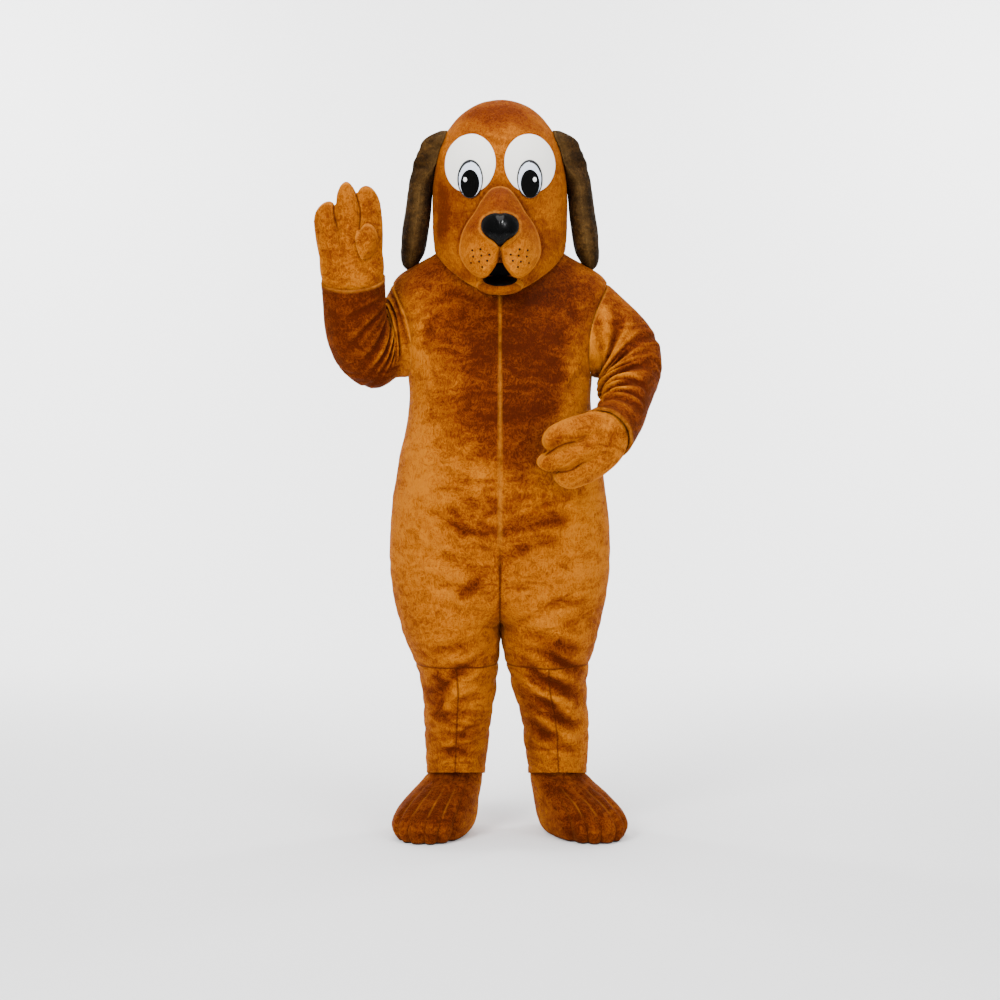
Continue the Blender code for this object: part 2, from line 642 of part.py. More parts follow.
def shin_panel(name, side, first_turn, last_turn):
    """A lower leg piece between two turns, from the knee seam to the hem."""
    count = round((last_turn - first_turn) * AROUND)
    turns = [first_turn + k / AROUND for k in range(count + 1)]
    outer, inner = [], []
    steps = 9
    for i in range(steps + 1):
        row = []
        for turn in turns:
            hem = (HEM_FRONT + HEM_BACK) / 2 + (HEM_FRONT - HEM_BACK) / 2 * math.sin(math.pi * turn)
            height = KNEE + (hem - KNEE) * i / steps
            o, n = cloth_row(height, [turn], side)
            row.append((o[0], n[0]))
        outer.append([r[0] for r in row])
        inner.append([r[1] for r in row])
    outer, inner = np.array(outer), np.array(inner)
    inset_edges(outer, inner, ("left", "right", "first"))
    wall(name, outer, inner, "plush_brown")


def section_ring(section, tangent, count):
    """A closed ring of the sleeve, from the elbow's side round by the front, and its ripple's weight."""
    inside = np.array([section.xi, section.yi, section.zi])
    outside = np.array([section.xo, section.yo, section.zo])
    centre, reach = (inside + outside) / 2, (outside - inside) / 2
    across = unit(np.cross(tangent, reach))
    if across[1] > 0:
        across = -across
    ring = []
    for k in range(count + 1):
        a = 2 * math.pi * k / count
        ring.append(centre + reach * math.cos(a) + across * section.half * math.sin(a))
    return np.array(ring)


def resample(sections, count):
    """count rows spread evenly along a table of sections, on smooth curves through them."""
    numbered = [Numbered(i, *section) for i, section in enumerate(sections)]
    return [Section(*read(numbered, i)[1:]) for i in np.linspace(0, len(sections) - 1, count)]


def sleeve_rings(sections, count):
    """The sleeve's free rings, each starting at the elbow's side, going round by the front."""
    rows = resample(sections, SLEEVE_STEPS)
    middles = np.array([[(r.xi + r.xo) / 2, (r.yi + r.yo) / 2, (r.zi + r.zo) / 2] for r in rows])
    tangents = unit(np.gradient(middles, axis=0))
    rings = []
    for i, (row, tangent) in enumerate(zip(rows, tangents)):
        ring = section_ring(row, tangent, count)
        fold = row.ripple * (1 if i % 2 else -1)
        turns = np.linspace(0, 2 * math.pi, count + 1)
        weights = 0.65 + 0.35 * np.cos(turns)
        ring += unit(ring - middles[i]) * (fold * weights)[:, None]
        rings.append(ring)
    return rings


def sleeve(name, sections, front_border, back_border, elbow_is_top):
    """Two sleeve pieces, front and back, sewn into the armhole. Returns the rings of the hem."""
    count = 2 * ARMHOLE_STEPS
    first = []
    for k in (0, 1):
        front, back = front_border[k], back_border[k]
        if not elbow_is_top:
            front, back = front[::-1], back[::-1]
        first.append(np.concatenate([front, back[-2::-1]]))
    rings = np.array([first[0]] + sleeve_rings(sections, count))
    normals = grid_normals(rings, closed=True)
    centres = rings[:, :-1].mean(axis=1, keepdims=True)
    if ((rings - centres) * normals).sum() < 0:
        normals = -normals
    inner = rings - PLUSH * normals
    inner[0] = first[1]
    halves = {"front": slice(0, ARMHOLE_STEPS + 1), "back": slice(ARMHOLE_STEPS, count + 1)}
    for half, columns in halves.items():
        o, n = rings[:, columns].copy(), inner[:, columns].copy()
        inset_edges(o, n, ("left", "right"))
        wall(f"{name}_{half}", o, n, "plush_brown")
    return rings[-2:], inner[-2:]


# ---------------------------------------------------------------- mitts


def finger_tip(across):
    """How far a mitt reaches at a place across it, -1 to 1, as a share of its length: three fingers."""
    lobe = abs(math.cos(1.5 * math.pi * across))
    return read(FINGERS, across).reach + FINGER_LOBE * lobe**0.5


def mitt_point(hand, across, share, face, shorter=0.0):
    """A point in the middle of a mitt, its outward direction and its half thickness there. across is -1
    to 1 at the thumb's side, and share goes from the edge in the sleeve to the fingertips, which lie
    shorter metres back. face is -1 on the palm and 1 on the back of the hand."""
    start, middle, end = (np.array(p, float) for p in (hand.start, hand.middle, hand.end))
    first = PALM[0].along
    reach = first + (MITT_LENGTH * finger_tip(across) - shorter - first) * math.sin(share * math.pi / 2)
    s = max(reach, 0) / MITT_LENGTH
    point = start * (1 - s) ** 2 + middle * 2 * s * (1 - s) + end * s * s
    tangent = unit((middle - start) * (1 - s) + (end - middle) * s)
    point = point + tangent * min(reach, 0)
    thumbwards = np.array(hand.thumbwards, float)
    side = unit(thumbwards - tangent * float(np.dot(thumbwards, tangent)))
    out = unit(np.cross(side, tangent)) * face * hand.side
    p = read(PALM, reach)
    between = 1 - abs(math.cos(1.5 * math.pi * across)) ** 0.6
    groove = 1 - 0.5 * between * min(1.0, max(0.0, (s - 0.3) / 0.3))
    thick = p.half_thick * round_off(abs(across), 2.3) * groove * round_off(share, 5)
    wide = p.half_width * (1 + (hand.wrist - 1) * min(1.0, max(0.0, 1 - reach / 0.08)))
    return point + side * wide * across, out, thick


def mitt(name, hand):
    """A three-fingered mitt as a palm and a back, open at the wrist, with a stuffed thumb on its palm."""
    columns = [-u for u in FINGER_ACROSS[:0:-1]] + list(FINGER_ACROSS)
    rows = 8
    for half, face in (("palm", -1), ("back", 1)):
        outer, inner = [], []
        for i in range(rows + 1):
            upper, lower = [], []
            for u in columns:
                point, out, thick = mitt_point(hand, u, i / rows, face)
                upper.append(point + out * (thick + 0.0012))
                point, out, thick = mitt_point(hand, u * 0.955, i / rows, face, PLUSH)
                lower.append(point + out * (max(thick - PLUSH, 0.0) + SEAM / 2))
            outer.append(upper)
            inner.append(lower)
        wall(f"{name}_{half}", np.array(outer), np.array(inner), "plush_brown")
    thumb = Pad(0.52, 0.352, 0.34, 0.118, hand.thumb_lift, 0.0015, 0.016)
    top, bottom = [], []
    steps, spokes = 3, 14
    for i in range(steps + 1):
        share = i / steps
        upper, lower = [], []
        for j in range(spokes):
            a = 2 * math.pi * j / spokes
            u = thumb.x + thumb.half_width * share * math.cos(a)
            t = thumb.z + thumb.half_height * share * math.sin(a)
            point, out, thick = mitt_point(hand, u, t, -1)
            lower.append(point + out * (thick + thumb.lift))
            upper.append(lower[-1] + out * (thumb.thick + thumb.dome * round_off(share, 2.4)))
        top.append(upper)
        bottom.append(lower)
    wall(f"{name}_thumb", np.array(top), np.array(bottom), "plush_brown", closed=True, pole=True)


# ---------------------------------------------------------------- feet and tail


def foot_ring(ring, turns, side, inset=0.0):
    """A ring of a foot cover. turns are in degrees from the toes, outwards positive."""
    points = []
    toes_splay = SPLAY_LEFT if side > 0 else SPLAY_RIGHT
    low = min(1.0, max(0.0, (0.165 - ring.height) / 0.07))
    splay = math.radians(SPLAY + (toes_splay - SPLAY) * low)
    for turn in turns:
        a = math.radians(turn)
        middle, half = (ring.heel - ring.toes) / 2, (ring.heel + ring.toes) / 2
        groove = max(math.exp(-(((turn - t) / 7) ** 2)) for t in TOE_SEAMS)
        shrink = ring.toe_lobe * groove + inset
        x = (ring.half_width - shrink) * power(math.sin(a), ring.square)
        y = middle - (half - shrink) * power(math.cos(a), ring.square)
        px = x * math.cos(splay) - y * math.sin(splay)
        py = x * math.sin(splay) + y * math.cos(splay)
        points.append([side * (ring.x + px) + lean(ring.height), FOOT_BACK + py, ring.height])
    return np.array(points)


def foot(word, side):
    """A foot cover as an outer and an inner upper, and a sole."""
    toes = sorted(TOE_SEAMS + (-40, -17, 5, 27, -62, 50))
    outer_turns = [t for t in toes if t >= 5] + [72, 95, 118, 140, 160, 180]
    inner_turns = [-180, -160, -140, -118, -95, -76] + [t for t in toes if t <= 5]
    for part, turns in (("outer", outer_turns), ("inner", inner_turns)):
        outer = np.array([foot_ring(r, turns, side) for r in FOOT])
        inner = np.array([foot_ring(r, turns, side, PLUSH + 0.001) for r in FOOT])
        inner[0, :, 2] = outer[0, :, 2]
        inner[2:6, :, 2] -= SLOPE_DROP
        inset_edges(outer, inner, ("left", "right"))
        wall(f"foot_{part}_{word}", outer, inner, "plush_brown")
    turns = sorted(set(outer_turns[:-1] + inner_turns))
    top = foot_ring(FOOT[-1]._replace(height=SOLE), turns, side)
    edge = foot_ring(FOOT[-1]._replace(height=SOLE * 0.3), turns, side)
    bottom = foot_ring(FOOT[-1]._replace(height=0.0), turns, side, 0.003)
    tube(f"sole_{word}", [top, edge, bottom], "sole_black")


def back_of_suit(x, height):
    """How far back the suit reaches at a place on its back."""
    g = read(BODY, height)
    middle, half = (g.back - g.front) / 2, (g.back + g.front) / 2
    return middle + half * round_off(abs(x) / g.outer, g.square)


def tail():
    """The stuffed tail. Its first ring lies on the suit's back."""
    count = 16
    rings = []
    for i, t in enumerate(TAIL):
        ring = []
        for k in range(count):
            a = 2 * math.pi * k / count
            share = (1 + math.sin(a)) / 2
            x = t.half_width * math.cos(a)
            y = t.y_lower + (t.y_upper - t.y_lower) * share
            z = t.z_lower + (t.z_upper - t.z_lower) * share
            if i == 0:
                y = back_of_suit(x, z) + TAIL_GAP
            ring.append([x, y, z])
        rings.append(ring)
    middle = np.mean(rings[0], axis=0)
    inset = [middle + (np.array(p) - middle) * 0.4 for p in rings[0]]
    rings.insert(0, [[x, back_of_suit(x, z) + TAIL_GAP, z] for x, _, z in inset])
    tube("tail", rings, "plush_brown")


# ---------------------------------------------------------------- head


def head_point(angle, share):
    """A point on the head. angle is in degrees from the front, and share is 0 at the rim, 1 at the crown."""
    rim = read(RIM, abs(angle)).height
    height = rim + (CROWN - rim) * math.sin(share * math.pi / 2)
    s = read(HEAD, height)
    middle, half = (s.back - s.front) / 2, (s.back + s.front) / 2
    a = math.radians(angle)
    x = s.half_width * power(math.sin(a), s.square)
    y = middle - half * power(math.cos(a), s.square)
    return np.array([x, y, height])


def head_panel(name, angles):
    """A piece of the head's shell between two angles, from its rim to the crown."""
    rows = 12
    outer, inner = [], []
    for i in range(rows + 1):
        upper, lower = [], []
        for angle in angles:
            e = 0.5
            share = i / rows
            low, high = max(share - 0.01, 0), min(share + 0.01, 0.985)
            point = head_point(angle, share)
            held = min(share, 0.985)
            round_it = head_point(angle + e, held) - head_point(angle - e, held)
            normal = unit(np.cross(round_it, head_point(angle, high) - head_point(angle, low)))
            if i == 0:
                normal = unit(normal * [1, 1, 0])
            if i == rows:
                normal = np.array([0, 0, 1.0])
            upper.append(point)
            lower.append(point - FOAM * normal)
        outer.append(upper)
        inner.append(lower)
    outer, inner = np.array(outer), np.array(inner)
    inset_edges(outer, inner, ("left", "right"))
    wall(name, outer, inner, "plush_brown")


def muzzle_half(name, side):
    """Half of the muzzle, stuffed, from the seam under the nose to the seam with the face."""
    rows, columns = 7, 13
    top, bottom = [], []
    for i in range(rows + 1):
        share = math.sin(math.pi / 2 * i / rows)
        upper, lower = [], []
        for j in range(columns + 1):
            direction = -90 + 180 * j / columns
            m = read(MUZZLE, direction)
            a = math.radians(direction)
            x = share * m.reach * math.cos(a)
            z = MUZZLE_HEIGHT + share * m.reach * math.sin(a)
            upper.append(muzzle_point(direction, share))
            lower.append(face_point(x, z, 0.0014))
        top.append(upper)
        bottom.append(lower)
    top, bottom = np.array(top), np.array(bottom)
    top[-1] += [0, -0.0012, 0]
    for layer in (top, bottom):
        layer[:, :, 0] = np.maximum(layer[:, :, 0], SEAM / 2)
    wall(name, mirrored(top, side), mirrored(bottom, side), "plush_brown", pole=True)


def nose():
    """The nose, on the front of the muzzle."""
    steps, spokes = 4, 18
    top, bottom = [], []
    for i in range(steps + 1):
        share = i / steps
        upper, lower = [], []
        for j in range(spokes):
            angle = 360 * j / spokes
            reach = outline(NOSE, angle) * share
            a = math.radians(angle)
            x, z = reach * math.cos(a), NOSE_HEIGHT + reach * math.sin(a)
            y = muzzle_front(x, z) - 0.0020
            lower.append([x, y, z])
            upper.append([x, y - 0.003 - NOSE_DOME * round_off(share, 2.6), z])
        top.append(upper)
        bottom.append(lower)
    wall("nose", np.array(top), np.array(bottom), "gloss_black", closed=True, pole=True)


def ear(word, side):
    """A padded ear as an outer and an inner panel that meet at a seam round the edge."""
    shares = (-1.0, -0.93, -0.6, 0.0, 0.6, 0.93, 1.0)
    for part, face in (("outer", 1), ("inner", -1)):
        upper, lower = [], []
        for row in EAR:
            bulges = [row.half_thick * round_off(abs(u), 2.3) + 0.0012 for u in shares]
            places = [row.y + row.half_width * u for u in shares]
            upper.append([[row.x + face * b, y, row.height] for b, y in zip(bulges, places)])
            lower.append([[row.x + face * SEAM / 2, y, row.height] for y in places])
        wall(f"ear_{part}_{word}", mirrored(upper, side), mirrored(lower, side), "plush_dark")


def main():
    for obj in list(bpy.data.objects):
        bpy.data.objects.remove(obj)
    collection = bpy.data.collections.new("dog_mascot_costume")
    bpy.context.scene.collection.children.link(collection)
    borders = {}
    for side, word in ((1, "left"), (-1, "right")):
        front = suit_panel(f"suit_front_{word}", side, True)
        back = suit_panel(f"suit_back_{word}", side, False)
        borders[word] = front, back
        shin_panel(f"shin_front_{word}", side, 0.5, 1.0)
        shin_panel(f"shin_back_{word}", side, 1.0, 1.5)
        shin_panel(f"shin_inner_{word}", side, 1.5, 2.5)
        foot(word, side)
        muzzle_half(f"muzzle_{word}", side)
        pad(f"eye_patch_{word}", EYE_PATCH, side, "felt_white", steps=3, spokes=20)
        pad(f"eye_disc_{word}", EYE_DISC, side, "gloss_white", steps=2, spokes=18)
        pad(f"pupil_{word}", PUPIL, side, "gloss_black", steps=2, spokes=16)
        pad(f"highlight_{word}", HIGHLIGHT, side, "gloss_white", steps=2, spokes=8)
        ear(word, side)
        sides = np.linspace(88, 180, 7) * side
        head_panel(f"head_back_{word}", sides)
    sleeve("sleeve_left", SLEEVE_LEFT, *borders["left"], elbow_is_top=True)
    sleeve("sleeve_right", SLEEVE_RIGHT, *borders["right"], elbow_is_top=False)
    mitt("mitt_right", MITT_RIGHT)
    mitt("mitt_left", MITT_LEFT)
    head_panel("head_face", np.linspace(-88, 88, 13))
    pad("mouth_lining", MOUTH, 1, "lining_black", spokes=16, steps=2)
    pad("jaw", JAW, 1, "plush_brown", steps=4, spokes=18, drop=JAW_DROP)
    nose()
    tail()


main()
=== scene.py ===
"""The looks of the dog mascot costume: plush cloth, padded head, felt and gloss eyes, in one light."""

import math
from collections import namedtuple

import bmesh
import bpy
import numpy as np
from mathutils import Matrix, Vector


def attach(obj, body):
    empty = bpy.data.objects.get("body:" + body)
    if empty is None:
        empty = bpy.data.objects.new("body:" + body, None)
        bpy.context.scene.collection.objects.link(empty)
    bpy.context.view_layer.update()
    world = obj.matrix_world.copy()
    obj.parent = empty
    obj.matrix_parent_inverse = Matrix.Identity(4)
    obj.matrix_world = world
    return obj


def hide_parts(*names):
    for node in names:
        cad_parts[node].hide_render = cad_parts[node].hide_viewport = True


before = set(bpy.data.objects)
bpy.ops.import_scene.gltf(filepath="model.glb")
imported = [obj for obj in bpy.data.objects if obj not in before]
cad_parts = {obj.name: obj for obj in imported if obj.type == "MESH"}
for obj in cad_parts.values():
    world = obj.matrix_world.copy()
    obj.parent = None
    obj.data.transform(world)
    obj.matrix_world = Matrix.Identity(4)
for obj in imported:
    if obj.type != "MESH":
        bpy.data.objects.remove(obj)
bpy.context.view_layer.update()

# Heights above the floor, in metres. The frame's origin is at the shoulders.
CROWN, COLLAR, SHOULDER, UNDERARM, FORK, CROTCH, KNEE = 1.830, 1.500, 1.380, 1.145, 0.700, 0.535, 0.430
HEM_FRONT, HEM_BACK = 0.160, 0.122
LEAN, LEAN_TOP, LEAN_FOOT = 0.017, 0.560, 0.230  # how far both legs stand to the left, and between which heights
ARMHOLE_STEPS, SLEEVE_STEPS = 8, 15
ARMHOLE_FRONT, ARMHOLE_BACK = 0.345, 0.244  # how far the armhole reaches from the side, in turns of body_point
ARMHOLE_MIDDLE, ARMHOLE_HALF = (SHOULDER + UNDERARM) / 2, (SHOULDER - UNDERARM) / 2
ROLL = 0.005  # how deep a cut edge is turned in
STEP = 0.003  # between the places that a normal of the suit is measured from
ANKLE, FOOT_LOW = 0.212, 0.0035  # where the foot's cloth starts and ends
SEAM_DIP, HEM_STITCH = 0.0028, 0.020  # how deep a seam sinks, and how far from a hem its stitches are
# how far from a seam the cloth is calm, how wide its dip is, and how wide the light and the dark pile along it
SEAM_CALM, SEAM_WIDE, SEAM_LIGHT, SEAM_CORE = 0.012, 0.006, 0.0020, 0.0014
STITCH_DIP, STITCH_WIDE, HEM_LIGHT = 0.0012, 0.0025, 0.0035
CLOTH_LUMPS = (0.0018, 10, 3), (0.0010, 24, 5), (0.0006, 58, 7)  # height, how many to the metre, and seed
SUIT_TONE, SHIN_TONE, HEAD_TONE, TAIL_TONE, FOOT_TONE = 0.57, 0.60, 0.56, 0.30, 0.20  # how light the pile stands
SLEEVE_TONES, MITT_TONES = {"left": 0.17, "right": 0.08}, {"left": 0.69, "right": 0.66}
MIDDLE_GAP = 0.00015  # from the middle plane to each half of the muzzle
ROUNDING, LIP = 0.0012, 0.041  # of a pad's edge, and how far the lining reaches over the lower lip to each side

# --- the forms, from the same tables as the solids


def mm(rows, plain=()):
    """Rows in millimetres, or in thousandths, made metres or shares, but for the columns in plain."""
    return [tuple(v if k in plain else v / 1000 for k, v in enumerate(row)) for row in rows]


# height inner outer front back square
BODY = mm((
    (80, 58, 203, 40, 138, 2), (178, 52, 205, 52, 140, 2), (215, 46, 207, 58, 140, 2), (253, 42, 209, 66, 140, 2),
    (290, 36, 209, 76, 140, 2.05), (328, 28, 208, 88, 139, 2.1), (365, 20, 208, 101, 137, 2.1),
    (403, 14, 213, 115, 135, 2.1), (440, 6.5, 222, 129, 135, 2.1), (478, 1.5, 235, 142, 138, 2.15),
    (515, 0.4, 246, 153, 145, 2.2), (535, 0, 251, 158, 149, 2.2), (553, 0, 255, 162, 155, 2.25),
    (590, 0, 264, 170, 163, 2.3), (628, 0, 270, 177, 171, 2.35), (665, 0, 274, 186, 182, 2.4),
    (740, 0, 275, 198, 198, 2.4), (815, 0, 270, 210, 208, 2.4), (890, 0, 260, 218, 210, 2.4),
    (965, 0, 248, 222, 207, 2.4), (1003, 0, 238, 222, 205, 2.4), (1078, 0, 226, 213, 203, 2.4),
    (1153, 0, 230, 197, 203, 2.4), (1228, 0, 247, 174, 201, 2.4), (1303, 0, 264, 143, 194, 2.4),
    (1345, 0, 272, 123, 185, 2.4), (1380, 0, 268, 104, 173, 2.3), (1400, 0, 253, 92, 165, 2.25),
    (1428, 0, 208, 84, 152, 2.15), (1445, 0, 176, 79.7, 140, 2.1), (1473, 0, 136, 73, 114, 2),
    (1500, 0, 98, 66, 85, 2),
), (5,))
# height half_width front back square
HEAD = mm((
    (1340, 120, 138, 150, 2), (1385, 140, 149, 158, 2.1), (1425, 155, 155, 168, 2.2), (1463, 163, 156, 182, 2.25),
    (1500, 167, 156, 193, 2.3), (1540, 168, 159, 199, 2.3), (1590, 168, 166, 201, 2.3), (1640, 165, 172, 193, 2.25),
    (1690, 157, 168, 176, 2.2), (1730, 143, 157, 155, 2.1), (1768, 119, 134, 125, 2), (1797, 91, 104, 91, 2),
    (1818, 56, 64, 53, 2), (1830, 1.5, 1.5, 1.5, 2),
), (4,))
HEAD_ROUND = [(-math.sqrt(CROWN - row[0]), *row[1:]) for row in HEAD]
# angle height
RIM = mm((
    (0, 1344), (25, 1360), (50, 1398), (75, 1446), (95, 1465), (120, 1463), (150, 1451), (180, 1442),
), (0,))
# inside point (3), outside point (3), half, ripple
SLEEVE_RIGHT = mm((
    (-283, 18, 1345, -258, 10, 1144, 84, 0), (-287, 6, 1314, -300, 4, 1120, 80, 1),
    (-287, -10, 1295, -342, -8, 1124, 78, 2), (-285, -30, 1288, -381, -24, 1150, 76, 2),
    (-283, -52, 1296, -409, -42, 1188, 75, 2), (-281, -70, 1314, -425, -58, 1232, 74, 2),
    (-279, -83, 1334, -432, -74, 1278, 73, 1), (-279, -95, 1360, -434, -90, 1326, 71, 0),
    (-278, -112, 1386, -436, -111, 1378, 71, 0),
))
SLEEVE_LEFT = mm((
    (254, 4, 1142, 322, 12, 1330, 88, 0), (249, -12, 1128, 368, 10, 1280, 84, 1),
    (248, -34, 1117, 399, 0, 1218, 80, 2), (250, -60, 1108, 401, -22, 1156, 77, 2),
    (252, -88, 1100, 382, -50, 1102, 75, 2), (250, -118, 1091, 354, -82, 1048, 73, 2),
    (243, -154, 1080, 328, -124, 1000, 72, 1), (216, -206, 1068, 290, -182, 952, 72, 0),
))
Hand = namedtuple("Hand", "side wrist start middle end thumbwards thumb_lift")
MITT_RIGHT = Hand(
    -1, 1.212, (-0.356, -0.109, 1.368), (-0.364, -0.150, 1.490), (-0.372, -0.168, 1.614), (1.0, 0.05, 0.0), 0.0035
)
MITT_LEFT = Hand(
    1, 1.005, (0.258, -0.190, 1.012), (0.210, -0.256, 0.970), (0.090, -0.274, 0.938), (-0.5, -0.2, 0.8), 0.0043
)
MITT_LENGTH = 0.262
# across, then how far the fingers reach on the right mitt and on the left one
FINGERS = mm((
    (-1000, 640, 700), (-960, 700, 760), (-880, 752, 812), (-760, 790, 848), (-620, 812, 870), (-500, 815, 872),
    (-400, 800, 858), (-345, 782, 836), (-315, 800, 850), (-280, 868, 905), (-200, 932, 958), (-100, 975, 990),
    (0, 992, 1000), (100, 985, 992), (200, 952, 960), (280, 912, 912), (325, 882, 872), (360, 892, 878),
    (440, 922, 893), (560, 940, 898), (680, 938, 890), (800, 915, 862), (900, 870, 820), (960, 825, 775),
    (1000, 770, 715),
))
# along half_width half_thick
PALM = mm((
    (-22, 50, 50), (0, 54.5, 55), (25, 66, 55), (80, 77, 44), (150, 83, 37), (210, 81, 32), (270, 76, 28),
))
# height x half_width toes heel square toe_lobe
FOOT = mm((
    (212, 127.5, 55, 48, 77, 2, 0), (180, 128, 58, 51, 80, 2, 0), (150, 131, 65, 62, 87.8, 2, 1),
    (124, 140, 76.5, 102, 93.6, 2.1, 3), (95, 152, 87, 153, 98, 2.2, 5), (66, 163, 96, 188, 102, 2.3, 7),
    (38, 169, 99, 203, 102, 2.35, 8), (6.3, 170, 98, 204, 101, 2.35, 8),
), (5,))
FOOT_BACK, SPLAY, SPLAY_RIGHT, SPLAY_LEFT, SOLE = 0.030, 16, 14, 23, 0.006
TOE_SEAMS = (-52, -28, -6, 16, 38)
# y_upper z_upper y_lower z_lower half_width
TAIL = mm((
    (212, 852, 186, 690, 43), (232, 812, 203, 655, 43), (245, 775, 220, 631, 42), (257, 735, 241, 611, 40),
    (272, 692, 264, 596, 37), (292, 655, 288, 587, 32), (315, 625, 313, 584, 24), (334, 605, 331, 590, 10),
))
# direction reach drop square
MUZZLE = mm((
    (-90, 45, 8, 3.4), (-72, 58, 45, 3.4), (-58, 76, 62, 3.4), (-40, 94, 52, 3.2), (-20, 103, 28, 2.9),
    (0, 96, 10, 2.6), (25, 88, 0, 2.3), (50, 90, 0, 2.1), (68, 106, 0, 1.9), (80, 121, 0, 1.85), (90, 125, 0, 1.8),
), (0, 3))
MUZZLE_HEIGHT, MUZZLE_DEPTH = 1.478, 0.132
# direction reach
NOSE = mm((
    (-90, 44), (-65, 34), (-35, 36), (0, 44), (30, 47), (60, 41), (90, 35),
), (0,))
NOSE_HEIGHT, NOSE_DOME = 1.492, 0.022
Pad = namedtuple("Pad", "x z half_width half_height lift thick dome")
EYE_PATCH = Pad(0.0710, 1.658, 0.0595, 0.0695, 0.0017, 0.0020, 0.0)
EYE_DISC = Pad(0.0700, 1.6205, 0.0287, 0.0440, 0.0042, 0.0020, 0.0)
PUPIL = Pad(0.0700, 1.6095, 0.0205, 0.0315, 0.0066, 0.0016, 0.0)
HIGHLIGHT = Pad(0.0800, 1.6195, 0.0030, 0.0044, 0.0086, 0.0012, 0.0010)
MOUTH = Pad(0.0, 1.4040, 0.0420, 0.0145, 0.0008, 0.0020, 0.0)
JAW = Pad(0.0, 1.3685, 0.0560, 0.0195, 0.0008, 0.0015, 0.066)
JAW_DROP = 0.016
# height, number and start of each row of whisker dots
WHISKER_ROWS = [(1.4440, 2, 0.046), (1.4310, 3, 0.025), (1.4170, 3, 0.030), (1.4030, 1, 0.042)]
WHISKER_GAP, WHISKER_RADIUS = 0.019, 0.0026
# a thumb, by shares across and along its mitt
THUMB = Pad(0.52, 0.352, 0.34, 0.118, 0.0, 0.0015, 0.016)
# height x y half_width half_thick
EAR = mm((
    (1752, 140, -14, 14, 4), (1738, 157, -12, 34, 18), (1700, 179, 0, 48, 26.5), (1650, 191.5, 10, 57, 30),
    (1600, 199, 16, 62, 31), (1550, 204.5, 20, 66, 32), (1496, 212.5, 23, 67, 32), (1456, 219, 25, 59, 29),
    (1436, 223, 26, 45, 22.5), (1420, 224.5, 27, 28, 14), (1412.5, 225, 27, 8, 4),
))
# height, place from front to back, length, slant in degrees and depth of the soft dents in an ear
EAR_FOLDS = mm((
    (1715, 0, 70, 20, 6), (1690, -10, 60, -25, 5), (1665, 12, 70, 12, 4), (1600, -15, 60, 70, 2.5),
    (1540, 18, 80, 80, 2.5), (1480, -10, 60, 60, 2),
), (3,))

# The sides that cloth can face, as x and y.
FRONT, BACK, RIGHT, LEFT = (0, -1), (0, 1), (-1, 0), (1, 0)


def facing(kind, plain, groups):
    return [kind(side, *row) for side, rows in groups for row in mm(rows, plain)]


